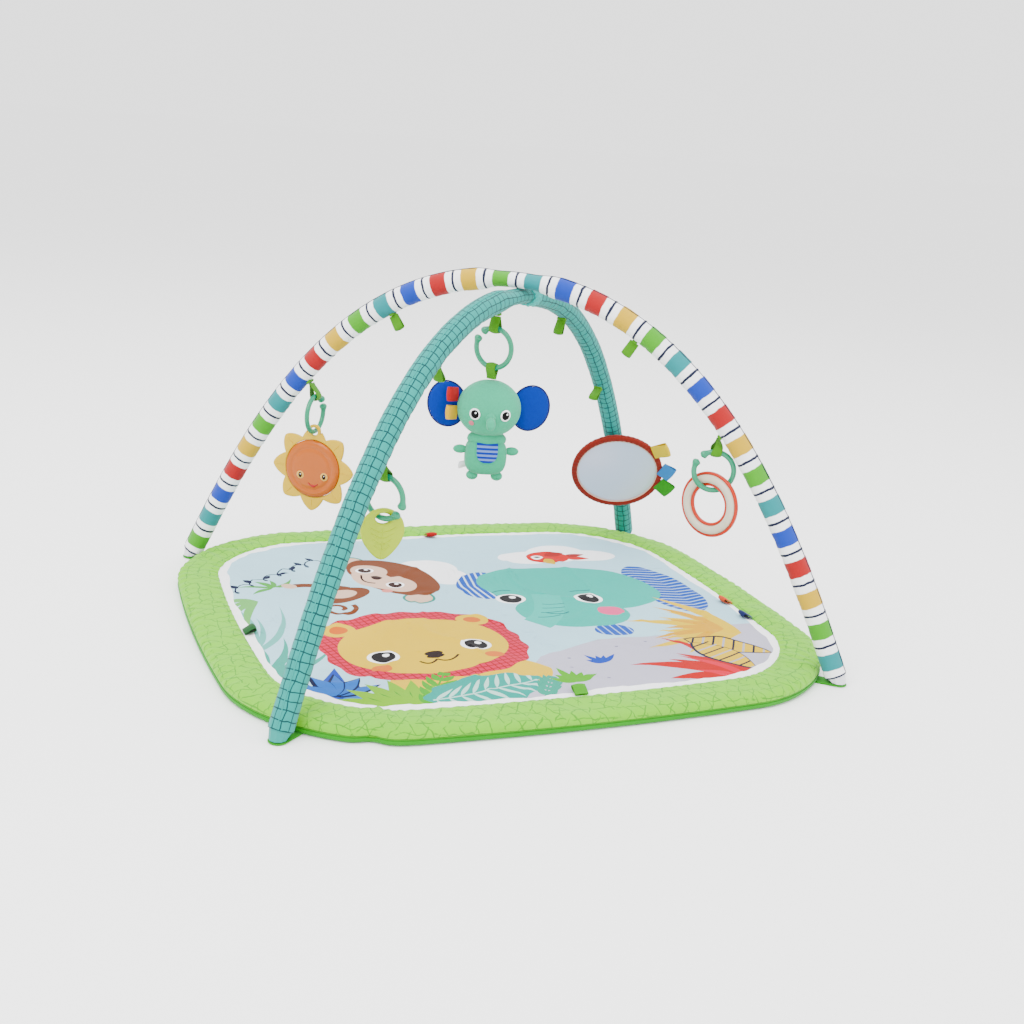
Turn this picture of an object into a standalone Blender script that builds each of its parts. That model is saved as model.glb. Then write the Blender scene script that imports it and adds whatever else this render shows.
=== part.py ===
"""Activity play gym: a quilted floor mat, two crossing padded arches and five toys.

Metres, +Z up.  The origin is on the floor under the middle of the mat, +X runs along the
mat's front edge and +Y to the back.  The striped arch stands from the back left corner to
the front right one, the teal arch from the front left corner to the back right one and
under it.  Every piece of the frame lifts off the mat together; the toys hang and swing.
"""
import math

import bmesh
import bpy
from mathutils import Matrix, Vector
from mathutils.geometry import tessellate_polygon

# ---- driving dimensions -------------------------------------------------------------
GAP = 0.0003                  # air between pieces that touch

MAT_HALF_X = 0.430            # half the mat's width
MAT_HALF_Y = 0.380            # half the mat's depth
MAT_CORNER = 0.185            # corner radius
MAT_BOW = 0.062               # how much narrower the mat is at its corners
BACKING_THICK = 0.0015
BATTING_TOP = 0.0175
PANEL_TOP = 0.0200
BORDER_WIDTH = 0.058

FOOT_X = 0.380                # where the arches stand
FOOT_Y = 0.321
FOOT_HEIGHT = 0.012           # end of the tube above the floor

SLEEVE_RADIUS = 0.0155
SLEEVE_THICK = 0.0015
FERRULE_RADIUS = 0.0072
ROD_RADIUS = 0.0048
TUBE_SIDES = 10
CROSSING_SQUASH = 0.70        # height left of a sleeve where the arches press together
CAP_DEPTH = 0.010             # how far the end cap reaches into the sleeve

STUD_RADIUS = 0.0045
STUD_TOP = 0.0073
CAP_BOTTOM = 0.0030
SOCKET_RADIUS = 0.0050

RIBBON_WIDTH = 0.014
RIBBON_THICK = 0.0010
RIBBON_EYE = 0.0058           # inner radius of a ribbon bent round a link
SEAM_GAP = 0.0022             # from the sleeve to the ends of a ribbon sewn on it

LINK_RADIUS = 0.0265          # centre line of a toy link
LINK_WIRE = 0.0035
LINK_BULB = 0.0056

SUN_FACE_RADIUS = 0.046
SUN_PETAL_RADIUS = 0.0665
SUN_HANG = 0.057              # hook hole above the sun's centre

LEAF_WIDTH = 0.055
LEAF_LENGTH = 0.066
LEAF_THICK = 0.006
LEAF_HOLE_WIDE = 0.0094       # hook hole's half width and half height
LEAF_HOLE_HIGH = 0.0066

RATTLE_OUTER = 0.0450
RATTLE_INNER = 0.0255
RATTLE_RIM = 0.0030
RATTLE_DEPTH = 0.0130
RATTLE_BAND = 0.0052          # width of the rims where they show
WINDOW_THICK = 0.0012

HEAD_SIZE = Vector((0.044, 0.034, 0.040))     # half width, depth and height
BODY_SIZE = Vector((0.027, 0.021, 0.025))
HEAD_DROP = 0.056             # head's centre below the link
BODY_DROP = 0.1225

MIRROR_RADIUS = 0.0775
MIRROR_PANE = 0.0680
MIRROR_STRAP = 0.0169         # strap's inner radius, loose on the sleeve
MIRROR_TURN = math.radians(-24)

UP = Vector((0, 0, 1))

# ---- colours: red, green, blue, roughness ---------------------------------------------
LOOKS = {
    "lime": (0.40, 0.74, 0.14, 0.85), "green": (0.10, 0.46, 0.04, 0.85),
    "white": (0.85, 0.85, 0.85, 0.85), "print": (0.60, 0.78, 0.84, 0.85),
    "teal": (0.10, 0.50, 0.45, 0.85), "stripe": (0.80, 0.30, 0.25, 0.85),
    "foam": (0.80, 0.80, 0.76, 0.90), "rod": (0.75, 0.75, 0.72, 0.40),
    "steel": (0.60, 0.60, 0.62, 0.30), "ribbon": (0.20, 0.45, 0.05, 0.80),
    "link": (0.10, 0.48, 0.33, 0.35), "sun": (0.80, 0.26, 0.02, 0.30),
    "petal": (0.90, 0.58, 0.15, 0.35), "leaf": (0.60, 0.72, 0.00, 0.40),
    "orange": (0.78, 0.16, 0.05, 0.35), "window": (0.62, 0.68, 0.56, 0.20),
    "bead": (0.55, 0.50, 0.08, 0.30), "mint": (0.22, 0.62, 0.45, 0.90),
    "blue": (0.06, 0.10, 0.48, 0.90), "rust": (0.38, 0.08, 0.06, 0.80),
    "mirror": (0.75, 0.77, 0.84, 0.05),
}


# ---- mesh helpers -----------------------------------------------------------------------
def material(look):
    """The look's material, made once."""
    found = bpy.data.materials.get(look)
    if found:
        return found
    red, green, blue, rough = LOOKS[look]
    made = bpy.data.materials.new(look)
    made.use_nodes = True
    shader = made.node_tree.nodes["Principled BSDF"]
    shader.inputs["Base Color"].default_value = (red, green, blue, 1)
    shader.inputs["Roughness"].default_value = rough
    shader.inputs["Metallic"].default_value = 1.0 if look in ("steel", "mirror") else 0.0
    made.diffuse_color = (red, green, blue, 1)
    return made


def pivot(name, place):
    """An empty on a joint's axis, which the moving pieces hang on."""
    empty = bpy.data.objects.new(name, None)
    empty.empty_display_size = 0.01
    empty.location = place
    bpy.context.collection.objects.link(empty)
    return empty


def add_object(name, points, faces, look, parent):
    """One closed body from world points, with its origin on its parent's pivot."""
    origin = parent.location if parent else Vector((0, 0, 0))
    mesh = bpy.data.meshes.new(name)
    mesh.from_pydata([Vector(point) - origin for point in points], [], faces)
    shape = bmesh.new()
    shape.from_mesh(mesh)
    bmesh.ops.recalc_face_normals(shape, faces=shape.faces)
    shape.to_mesh(mesh)
    shape.free()
    mesh.materials.append(material(look))
    mesh.shade_smooth()
    mesh.set_sharp_from_angle(angle=math.radians(40))
    made = bpy.data.objects.new(name, mesh)
    bpy.context.collection.objects.link(made)
    made.parent = parent
    return made


def loft(name, rings, look, parent=None, loop=False):
    """Skin a row of rings.  A ring of one point closes to a tip; loop joins last to first."""
    points, starts = [], []
    for ring in rings:
        starts.append(len(points))
        points.extend(ring)
    faces = []
    rows = len(rings) if loop else len(rings) - 1
    for row in range(rows):
        low, high = rings[row], rings[(row + 1) % len(rings)]
        low_start, high_start = starts[row], starts[(row + 1) % len(rings)]
        count = max(len(low), len(high))
        for index in range(count):
            after = (index + 1) % count
            if len(low) == 1:
                faces.append((low_start, high_start + after, high_start + index))
            elif len(high) == 1:
                faces.append((low_start + index, low_start + after, high_start))
            else:
                faces.append((low_start + index, low_start + after,
                              high_start + after, high_start + index))
    if not loop:
        for ring, start in ((rings[0], starts[0]), (rings[-1], starts[-1])):
            if len(ring) > 1:
                faces.append(tuple(range(start, start + len(ring))))
    return add_object(name, points, faces, look, parent)


def circle(centre, axis_u, axis_v, radius, sides=TUBE_SIDES, squash=1.0):
    """A ring of points round centre; squash flattens it along axis_v."""
    ring = []
    for index in range(sides):
        angle = 2 * math.pi * index / sides
        ring.append(centre + axis_u * (radius * math.cos(angle))
                    + axis_v * (radius * squash * math.sin(angle)))
    return ring


def lathe(name, profile, centre, axis, look, parent=None, sides=24, loop=False, stretch=1.0):
    """Turn (radius, height) points round an axis.  A radius of 0 is a tip."""
    axis = axis.normalized()
    axis_u = axis.orthogonal().normalized() if abs(axis.z) > 0.99 else UP.cross(axis).normalized()
    axis_v = axis.cross(axis_u)
    rings = []
    for radius, height in profile:
        middle = centre + axis * height
        if radius == 0:
            rings.append([middle])
        else:
            rings.append(circle(middle, axis_u, axis_v, radius, sides, stretch))
    return loft(name, rings, look, parent, loop)


def plate(name, outline, holes, centre, axis_u, axis_v, thick, look, parent=None):
    """A flat plate of the 2-D outline with holes, centred on its thickness."""
    loops = [outline] + holes
    flat = [Vector((x, y, 0)) for loop in loops for x, y in loop]
    triangles = tessellate_polygon([[Vector((x, y, 0)) for x, y in loop] for loop in loops])
    normal = axis_u.cross(axis_v)
    points = []
    for side in (0.5, -0.5):
        points.extend(centre + axis_u * p.x + axis_v * p.y + normal * (side * thick) for p in flat)
    size = len(flat)
    faces = [tuple(t) for t in triangles] + [tuple(i + size for i in reversed(t)) for t in triangles]
    start = 0
    for loop in loops:
        for index in range(len(loop)):
            a = start + index
            b = start + (index + 1) % len(loop)
            faces.append((a, b, b + size, a + size))
        start += len(loop)
    return add_object(name, points, faces, look, parent)


def ellipsoid(name, centre, size, frame, look, parent, sides=16, rows=8, low=-90, high=90):
    """A round stuffed shape; low and high cut it off flat at those latitudes."""
    rings = []
    for row in range(rows + 1):
        latitude = math.radians(low + (high - low) * row / rows)
        middle = centre + frame[2] * (size[2] * math.sin(latitude))
        width = math.cos(latitude)
        if width < 1e-6:
            rings.append([middle])
            continue
        ring = []
        for index in range(sides):
            angle = 2 * math.pi * index / sides
            ring.append(middle + frame[0] * (size[0] * width * math.cos(angle))
                        + frame[1] * (size[1] * width * math.sin(angle)))
        rings.append(ring)
    return loft(name, rings, look, parent)


# ---- the mat --------------------------------------------------------------------------
def mat_outline(inset, per_corner=11, per_side=5):
    """The mat's rounded, slightly bowed square, moved in by inset, counter-clockwise."""
    half_x, half_y = MAT_HALF_X - inset, MAT_HALF_Y - inset
    radius = MAT_CORNER - inset
    points = []
    for quarter, (sign_x, sign_y) in enumerate(((1, -1), (1, 1), (-1, 1), (-1, -1))):
        centre = Vector((sign_x * (half_x - radius), sign_y * (half_y - radius)))
        for index in range(per_corner):
            angle = math.radians(-90 + 90 * quarter + 90 * index / (per_corner - 1))
            points.append(centre + radius * Vector((math.cos(angle), math.sin(angle))))
        following = ((1, 1), (-1, 1), (-1, -1), (1, -1))[quarter]
        angle = math.radians(90 * quarter)
        target = Vector((following[0] * (half_x - radius), following[1] * (half_y - radius)))
        target += radius * Vector((math.cos(angle), math.sin(angle)))
        last = points[-1]
        for index in range(1, per_side):
            points.append(last.lerp(target, index / per_side))
    bowed = []
    for x, y in points:
        bowed.append(Vector((x * (1 - MAT_BOW * (y / half_y) ** 2),
                             y * (1 - MAT_BOW * (x / half_x) ** 2))))
    return bowed


def backing_outline():
    """The backing's outline with a tongue at each corner that lies under a foot."""
    half_width = 0.014
    points = mat_outline(0.004)
    for sign_x, sign_y in ((1, -1), (1, 1), (-1, 1), (-1, -1)):
        foot = Vector((sign_x * STUD_X, sign_y * STUD_Y))
        along = foot.normalized()
        across = Vector((-along.y, along.x))
        kept, cut_at = [], None
        for point in points:
            if point.dot(along) > 0 and abs(point.dot(across)) < half_width:
                cut_at = len(kept)
            else:
                kept.append(point)
        tongue = []
        for index in range(9):
            angle = math.radians(-90 + 180 * index / 8)
            tongue.append(foot + half_width * (along * math.cos(angle) + across * math.sin(angle)))
        points = kept[:cut_at] + tongue + kept[cut_at:]
    return points


def flat_ring(inset, height):
    return [Vector((x, y, height)) for x, y in mat_outline(inset)]


def build_mat():
    plate("mat_backing", backing_outline(), [], Vector((0, 0, BACKING_THICK / 2)),
          Vector((1, 0, 0)), Vector((0, 1, 0)), BACKING_THICK, "green")
    floor = BACKING_THICK + GAP
    batting_inset = 0.0105
    loft("mat_batting", [flat_ring(batting_inset, floor), flat_ring(batting_inset, BATTING_TOP)],
         "foam")
    # the border's section as (inset from the mat's edge, height), up the outside and back
    section = ((0.004, floor), (0.0, 0.006), (0.0, 0.012), (0.003, 0.017), (0.011, 0.0205),
               (0.030, 0.0215), (BORDER_WIDTH, PANEL_TOP), (BORDER_WIDTH, BATTING_TOP + GAP),
               (batting_inset - GAP, BATTING_TOP + GAP), (batting_inset - GAP, floor))
    loft("mat_border", [flat_ring(inset, height) for inset, height in section], "lime", loop=True)
    panel_inset = BORDER_WIDTH + GAP
    loft("mat_print_panel", [flat_ring(panel_inset, BATTING_TOP + GAP),
                             flat_ring(panel_inset, PANEL_TOP)], "print")
    for name, (sign_x, sign_y) in CORNERS.items():
        base = BACKING_THICK + GAP
        profile = ((0, base), (0.0070, base), (0.0070, 0.0026), (STUD_RADIUS, 0.0026),
                   (STUD_RADIUS, STUD_TOP - 0.0007), (STUD_RADIUS - 0.0008, STUD_TOP), (0, STUD_TOP))
        lathe("snap_stud_" + name, profile, Vector((sign_x * STUD_X, sign_y * STUD_Y, 0)), UP,
              "steel", sides=14)


# ---- the arches -------------------------------------------------------------------------
class Arch:
    """A tube's centre line in an upright plane through the origin: two mirrored curves.

    s is the length along it from the top, positive towards the foot at direction."""

    def __init__(self, direction, height, shoulder, shank, lean):
        self.out = direction.normalized()
        self.side = self.out.cross(UP)
        reach = direction.length
        handles = ((0, height), (shoulder * reach, height),
                   (reach - shank * math.sin(lean), FOOT_HEIGHT + shank * math.cos(lean)),
                   (reach, FOOT_HEIGHT))
        self.table = []
        length = 0.0
        steps = 400
        last = None
        for step in range(steps + 1):
            t = step / steps
            weights = ((1 - t) ** 3, 3 * t * (1 - t) ** 2, 3 * t * t * (1 - t), t ** 3)
            here = Vector((sum(w * h[0] for w, h in zip(weights, handles)),
                           sum(w * h[1] for w, h in zip(weights, handles))))
            if last is not None:
                length += (here - last).length
            self.table.append((length, here))
            last = here
        self.half = length

    def flat(self, s):
        """Distance from the middle and height of the point at s."""
        sign = -1 if s < 0 else 1
        want = min(abs(s), self.half)
        low, high = 0, len(self.table) - 1
        while high - low > 1:
            middle = (low + high) // 2
            if self.table[middle][0] <= want:
                low = middle
            else:
                high = middle
        start, end = self.table[low], self.table[high]
        point = start[1].lerp(end[1], (want - start[0]) / (end[0] - start[0]))
        return Vector((sign * point.x, point.y))

    def frame(self, s):
        """Centre, direction along the tube and the normal that points into the arch."""
        step = 0.002
        here = self.flat(s)
        run = self.flat(min(s + step, self.half)) - self.flat(max(s - step, -self.half))
        run.normalize()
        centre = self.out * here.x + UP * here.y
        along = self.out * run.x + UP * run.y
        inward = self.out * run.y - UP * run.x
        return centre, along, inward

    def squash(self, s):
        """How flat the sleeve is pressed: most at the crossing, round a few centimetres on."""
        blend = min(max((abs(s) - 0.022) / 0.038, 0.0), 1.0)
        blend = blend * blend * (3 - 2 * blend)
        return CROSSING_SQUASH + (1 - CROSSING_SQUASH) * blend

    def ring(self, s, radius, pressed=True, sides=TUBE_SIDES):
        centre, _, inward = self.frame(s)
        return circle(centre, self.side, inward, radius, sides, self.squash(s) if pressed else 1.0)

    def stations(self, low, high):
        """Rings every 75 mm or so on the legs, closer at the crossing."""
        near = [0.0, 0.022, 0.040, 0.060]
        count = 9
        reach = self.half - CAP_DEPTH - GAP
        legs = [near[-1] + (reach - near[-1]) * index / count for index in range(1, count + 1)]
        marks = sorted({-s for s in near + legs} | {s for s in near + legs})
        inside = [s for s in marks if low + 0.004 < s < high - 0.004]
        return [low] + inside + [high]


def tube(name, arch, low, high, outer, inner, look, press=(True, True)):
    """A sleeve along the arch: the outer skin one way and the inner skin back."""
    marks = arch.stations(low, high)
    rings = [arch.ring(s, outer, press[0]) for s in marks]
    rings += [arch.ring(s, inner, press[1]) for s in reversed(marks)]
    return loft(name, rings, look, FRAME, loop=True)


def build_arch(prefix, arch, look, foot_names):
    inner = SLEEVE_RADIUS - SLEEVE_THICK
    tube(prefix + "_sleeve", arch, -arch.half, arch.half, SLEEVE_RADIUS, inner, look)
    reach = arch.half - CAP_DEPTH - GAP
    bore = FERRULE_RADIUS + GAP
    tube(prefix + "_foam", arch, -reach, reach, inner - 3 * GAP, bore, "foam",
         press=(True, False))
    ferrule_half = 0.040
    tube(prefix + "_rod_ferrule", arch, -ferrule_half, ferrule_half, FERRULE_RADIUS,
         ROD_RADIUS + 2 * GAP, "steel", press=(False, False))
    rod_end = arch.half - CAP_DEPTH / 2 - 2 * GAP
    for sign, foot_name in zip((-1, 1), foot_names):
        low, high = sorted((sign * GAP, sign * rod_end))
        rings = [arch.ring(s, ROD_RADIUS, False, 8) for s in arch.stations(low, high)]
        loft(prefix + "_rod_" + foot_name, rings, "rod", FRAME)
        build_end_cap("end_cap_" + foot_name, arch, sign, look)


def build_end_cap(name, arch, sign, look):
    """A plug in the sleeve's end: a socket for the rod above, one for the stud below."""
    tilted = []
    for depth, radius in ((CAP_DEPTH / 2, ROD_RADIUS + 2 * GAP), (CAP_DEPTH, ROD_RADIUS + 2 * GAP),
                          (CAP_DEPTH, SLEEVE_RADIUS - SLEEVE_THICK - GAP),
                          (0.0005, SLEEVE_RADIUS - SLEEVE_THICK - GAP)):
        tilted.append(arch.ring(sign * (arch.half - depth), radius))
    rod_bottom = arch.frame(sign * (arch.half - CAP_DEPTH / 2))[0]
    foot = arch.out * (sign * STUD_REACH)
    # the level rings keep the tilted rings' order of points
    inward = arch.out * -sign
    level = []
    for height, radius in ((CAP_BOTTOM, 0.0110), (CAP_BOTTOM, SOCKET_RADIUS),
                           (STUD_TOP + 2 * GAP, SOCKET_RADIUS)):
        level.append(circle(foot + UP * height, arch.side, inward, radius))
    socket_top = foot + UP * (STUD_TOP + 2 * GAP)
    loft(name, [[rod_bottom]] + tilted + level + [[socket_top]], look, FRAME)


def ribbon_loop(name, top, bottom, across, eye, parent, sewn_across=None):
    """A ribbon folded round bottom, with both ends sewn on at top.

    across is the way its width runs at the fold, sewn_across at the seam if it is twisted."""
    sewn_across = sewn_across or across
    down = (bottom - top).normalized()
    length = (bottom - top).length
    top_gap = 0.0008
    centre_line = [(-top_gap, 0.0)]
    turns = 8
    for index in range(turns + 1):
        angle = math.pi * index / turns
        centre_line.append((-eye * math.cos(angle), length + eye * math.sin(angle)))
    centre_line.append((top_gap, 0.0))
    rings = []
    for index, (x, y) in enumerate(centre_line):
        before = Vector(centre_line[max(index - 1, 0)])
        after = Vector(centre_line[min(index + 1, len(centre_line) - 1)])
        run = (after - before).normalized()
        normal = Vector((-run.y, run.x))
        wide = sewn_across.lerp(across, min(y / length, 1.0)).normalized()
        aside = wide.cross(down).normalized()
        ring = []
        for push, shift in ((0, -0.5), (0, 0.5), (1, 0.5), (1, -0.5)):
            flat = Vector((x, y)) + normal * (push * RIBBON_THICK)
            ring.append(top + aside * flat.x + down * flat.y + wide * (shift * RIBBON_WIDTH))
        rings.append(ring)
    return loft(name, rings, "ribbon", parent)


def sewing_point(arch, s, clear=0.0):
    """The middle of the sleeve's inner side at s, just off the cloth."""
    centre, _, inward = arch.frame(s)
    return centre + inward * (SLEEVE_RADIUS * arch.squash(s) + SEAM_GAP + clear)


def build_free_loops():
    drop = 0.018
    for name, arch, s in FREE_LOOPS:
        top = sewing_point(arch, s)
        _, along, inward = arch.frame(s)
        # the striped arch's loops lie flat along it, the teal one's run across
        across = along if arch is STRIPED else arch.side
        ribbon_loop(name, top, top + inward * drop, across, 0.0032, FRAME)


def build_crossing_strap():
    """The gathered strap round the teal sleeve that ties the two arches."""
    marks = (0.022, 0.040)
    rings = [TEAL.ring(s, SLEEVE_RADIUS + 0.0024) for s in marks]
    rings += [TEAL.ring(s, SLEEVE_RADIUS + 3 * GAP) for s in reversed(marks)]
    loft("crossing_strap", rings, "teal", FRAME, loop=True)


# ---- toys --------------------------------------------------------------------------------
def build_link(name, hang, across, gap_angle, parent):
    """A split ring that hangs in the ribbon at hang, with a bulb at each side of its gap."""
    centre = hang - UP * LINK_RADIUS
    half_gap = math.radians(6)
    bulb_angle = math.radians(9)
    steps = 20
    start = math.radians(gap_angle) + half_gap
    span = 2 * math.pi - 2 * half_gap
    normal = across.cross(UP)
    angles = [start + span * index / steps for index in range(steps + 1)]
    angles = angles[:1] + [start + bulb_angle] + angles[1:-1]
    angles += [start + span - bulb_angle, start + span]
    angles.sort()
    rings = []
    for angle in angles:
        spoke = across * math.cos(angle) + UP * math.sin(angle)
        from_end = min(angle - start, start + span - angle)
        swell = math.exp(-((from_end - bulb_angle) / math.radians(9)) ** 2)
        wire = LINK_WIRE + (LINK_BULB - LINK_WIRE) * swell
        rings.append(circle(centre + spoke * LINK_RADIUS, spoke, normal, wire, 7))
    return loft(name, rings, "link", parent)


def circle_outline(x, y, radius, count):
    return [(x + radius * math.cos(2 * math.pi * i / count),
             y + radius * math.sin(2 * math.pi * i / count)) for i in range(count)]


def build_sun(hook, across, parent):
    """A round face in a ring of eight petals, hung by a tab with a hole."""
    centre = hook - UP * SUN_HANG
    aside = UP.cross(across)
    petals = 8
    per_petal = 6
    valley = SUN_FACE_RADIUS + 0.0035
    outline = []
    for index in range(petals * per_petal):
        turn = index / per_petal
        from_tip = abs(2 * (turn - round(turn)))
        wave = 1 - from_tip ** 1.25
        radius = valley + (SUN_PETAL_RADIUS - valley) * wave
        angle = math.pi / 2 + 2 * math.pi * turn / petals
        point = Vector((radius * math.cos(angle), radius * math.sin(angle)))
        outline.append(point)
    tab_radius = 0.0105
    kept = [p for p in outline if not (p.y > 0 and abs(p.x) < tab_radius + 0.002)]
    tab = []
    for index in range(11):
        angle = math.radians(-20 + 220 * index / 10)
        tab.append(Vector((tab_radius * math.cos(angle), SUN_HANG + tab_radius * math.sin(angle))))
    first = next(i for i, p in enumerate(kept) if p.x < 0 and p.y > 0)
    outline = tab + kept[first:] + kept[:first]
    plate("sun_petals", [tuple(p) for p in outline],
          [list(reversed(circle_outline(0, SUN_HANG, 0.0060, 14))),
           list(reversed(circle_outline(0, 0, SUN_FACE_RADIUS - 0.002, 32)))],
          centre, aside, UP, 0.005, "petal", parent)
    rim = SUN_FACE_RADIUS - 0.002 - GAP
    crown = 0.0075
    profile = ((0, crown), (rim * 0.6, crown * 0.95), (rim * 0.88, crown * 0.75), (rim, 0.0035),
               (rim, -0.0035), (rim * 0.88, -crown * 0.75), (rim * 0.6, -crown * 0.95),
               (0, -crown))
    lathe("sun_face", profile, centre, across, "sun", parent, sides=32)


def build_leaf(hook, face_normal, parent):
    """A pointed teether leaf with a hook hole near its stalk."""
    aside = UP.cross(face_normal)
    hole_drop = 0.013
    half = LEAF_WIDTH / 2
    below = LEAF_LENGTH - hole_drop
    outline = []
    for index in range(40):
        angle = 2 * math.pi * index / 40
        x, y = math.cos(angle), math.sin(angle)
        if y < 0:
            # the lower half narrows to a point
            x *= 1 - 0.22 * abs(y) ** 2
            y = y * (1.0 + 0.12 * abs(y) ** 3)
        outline.append((half * x, -0.015 + (y * 0.028 if y > 0 else y * (below - 0.015) / 1.12)))
    hole = [(x, y * LEAF_HOLE_HIGH / LEAF_HOLE_WIDE)
            for x, y in circle_outline(0, 0, LEAF_HOLE_WIDE, 16)]
    plate("leaf_teether", outline, [list(reversed(hole))],
          hook, aside, UP, LEAF_THICK, "leaf", parent)


def build_rattle(hook, face_normal, parent, bead_parent):
    """A hollow ring of two rims and two clear windows, with beads inside."""
    centre = hook - UP * RATTLE_DROP
    middle_out = RATTLE_OUTER - RATTLE_RIM
    middle_in = RATTLE_INNER + RATTLE_RIM
    half = RATTLE_DEPTH / 2
    for name, radius, sign in (("rattle_outer_rim", middle_out, 1), ("rattle_inner_rim", middle_in, -1)):
        # a rounded band: bulging on its free side, flat where the windows butt against it
        profile = [(radius - sign * RATTLE_RIM * 0.3, -RATTLE_BAND / 2)]
        for index in range(5):
            angle = math.radians(-90 + 45 * index)
            profile.append((radius + sign * RATTLE_RIM * math.cos(angle),
                            RATTLE_BAND / 2 * math.sin(angle)))
        profile.append((radius - sign * RATTLE_RIM * 0.3, RATTLE_BAND / 2))
        lathe(name, profile, centre, face_normal, "orange", parent, sides=28, loop=True)
    low = middle_in + RATTLE_RIM * 0.3 + GAP
    high = middle_out - RATTLE_RIM * 0.3 - GAP
    for name, sign in (("rattle_front_window", 1), ("rattle_back_window", -1)):
        outer, inner = [], []
        for index in range(5):
            bulge = math.sin(math.pi * index / 4) ** 0.6
            radius = low + (high - low) * index / 4
            height = RATTLE_BAND / 2 + (half - RATTLE_BAND / 2) * bulge
            outer.append((radius, sign * height))
            inner.append((radius, sign * (height - WINDOW_THICK)))
        lathe(name, outer + inner[::-1], centre, face_normal, "window", parent, sides=28, loop=True)
    aside = UP.cross(face_normal)
    bead_radius = 0.0034
    track = 0.5 * (RATTLE_OUTER + RATTLE_INNER)
    for index, angle in enumerate((-106, -90, -74)):
        spoke = aside * math.cos(math.radians(angle)) + UP * math.sin(math.radians(angle))
        ellipsoid("rattle_bead_%d" % (index + 1), centre + spoke * track,
                  (bead_radius, bead_radius, bead_radius), (aside, face_normal, UP), "bead",
                  bead_parent, sides=8, rows=6)


def build_elephant(hook, across, parent):
    """A stuffed elephant: head, ears, trunk, body, arms and feet, on a ribbon hanger."""
    facing = -across.cross(UP).normalized()
    if facing.y > 0:
        facing = -facing
    turned = Matrix.Rotation(ELEPHANT_TURN, 3, "Z")
    front = (turned @ facing).normalized()
    aside = UP.cross(front) * -1
    frame = (aside, front, UP)
    head = hook - UP * HEAD_DROP
    body = hook - UP * BODY_DROP
    top = head + UP * (HEAD_SIZE.z + 2 * GAP)
    ribbon_loop("elephant_hanger", top, hook, across, RIBBON_EYE, parent)
    ellipsoid("elephant_head", head, HEAD_SIZE, frame, "mint", parent)
    ellipsoid("elephant_body", body, BODY_SIZE, frame, "mint", parent, sides=14, rows=6)
    for name, sign in (("left", -1), ("right", 1)):
        ear = head + aside * (sign * 0.0630) - front * 0.004 + UP * 0.002
        ellipsoid("elephant_ear_" + name, ear, (0.0180, 0.0040, 0.0315), frame, "blue", parent,
                  sides=12, rows=6)
        arm = body + aside * (sign * 0.0368) + UP * 0.008
        ellipsoid("elephant_arm_" + name, arm, (0.0093, 0.0055, 0.0060), frame, "mint", parent,
                  sides=8, rows=6)
        foot = body + aside * (sign * 0.0170) + front * 0.004 - UP * 0.0278
        ellipsoid("elephant_foot_" + name, foot, (0.0080, 0.0070, 0.0062), frame, "mint", parent,
                  sides=8, rows=6)
    trunk = head + front * (HEAD_SIZE.y + 0.0065) - UP * 0.014
    ellipsoid("elephant_trunk", trunk, (0.0060, 0.0075, 0.0085), frame, "mint", parent,
              sides=8, rows=6)


def build_mirror(arch, s, parent):
    """A padded round mirror on a strap that turns on the teal leg."""
    centre, along, inward = arch.frame(s)
    normal = Matrix.Rotation(MIRROR_TURN, 3, along) @ inward
    if normal.dot(Vector((0, -1, 0))) < 0:
        normal = -normal
    aside = normal.cross(along)
    strap_half = 0.014
    rings = []
    for radius, ends in ((MIRROR_STRAP + 0.0018, (-1, 1)), (MIRROR_STRAP, (1, -1))):
        for end in ends:
            rings.append(circle(centre + along * (end * strap_half), aside, normal, radius, 16))
    loft("mirror_strap", rings, "rust", parent, loop=True)
    back = MIRROR_STRAP + 0.0018 + 2 * GAP
    pad = 0.010
    profile = ((0, back), (MIRROR_RADIUS * 0.8, back), (MIRROR_RADIUS, back + pad * 0.5),
               (MIRROR_RADIUS, back + pad), (0, back + pad))
    lathe("mirror_back", profile, centre, normal, "rust", parent, sides=32)
    face = back + pad + GAP
    lathe("mirror_pane", ((0, face), (MIRROR_PANE, face), (MIRROR_PANE, face + 0.0015),
                          (0, face + 0.0015)), centre, normal, "mirror", parent, sides=32)
    inner = MIRROR_PANE + GAP * 2
    profile = ((inner, face), (MIRROR_RADIUS, face), (MIRROR_RADIUS - 0.001, face + 0.003),
               (0.5 * (inner + MIRROR_RADIUS), face + 0.0045), (inner, face + 0.003))
    lathe("mirror_frame", profile, centre, normal, "rust", parent, sides=32, loop=True)


# ---- layout ---------------------------------------------------------------------------------
CORNERS = {"front_left": (-1, -1), "front_right": (1, -1), "back_right": (1, 1),
           "back_left": (-1, 1)}
# the foot's middle moves on a little along the leaning leg to the floor
STUD_REACH = math.hypot(FOOT_X, FOOT_Y) + 0.0044
STUD_X = STUD_REACH * FOOT_X / math.hypot(FOOT_X, FOOT_Y)
STUD_Y = STUD_REACH * FOOT_Y / math.hypot(FOOT_X, FOOT_Y)

STRIPED = Arch(Vector((FOOT_X, -FOOT_Y, 0)), 0.4890, 0.549, 0.1955, math.radians(26.0))
TEAL = Arch(Vector((FOOT_X, FOOT_Y, 0)), 0.4668, 0.390, 0.3840, math.radians(24.0))

FREE_LOOPS = (("striped_loop_2", STRIPED, -0.200), ("striped_loop_3", STRIPED, 0.187),
              ("teal_loop_2", TEAL, -0.225), ("teal_loop_4", TEAL, 0.160),
              ("teal_loop_5", TEAL, 0.375))

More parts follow.
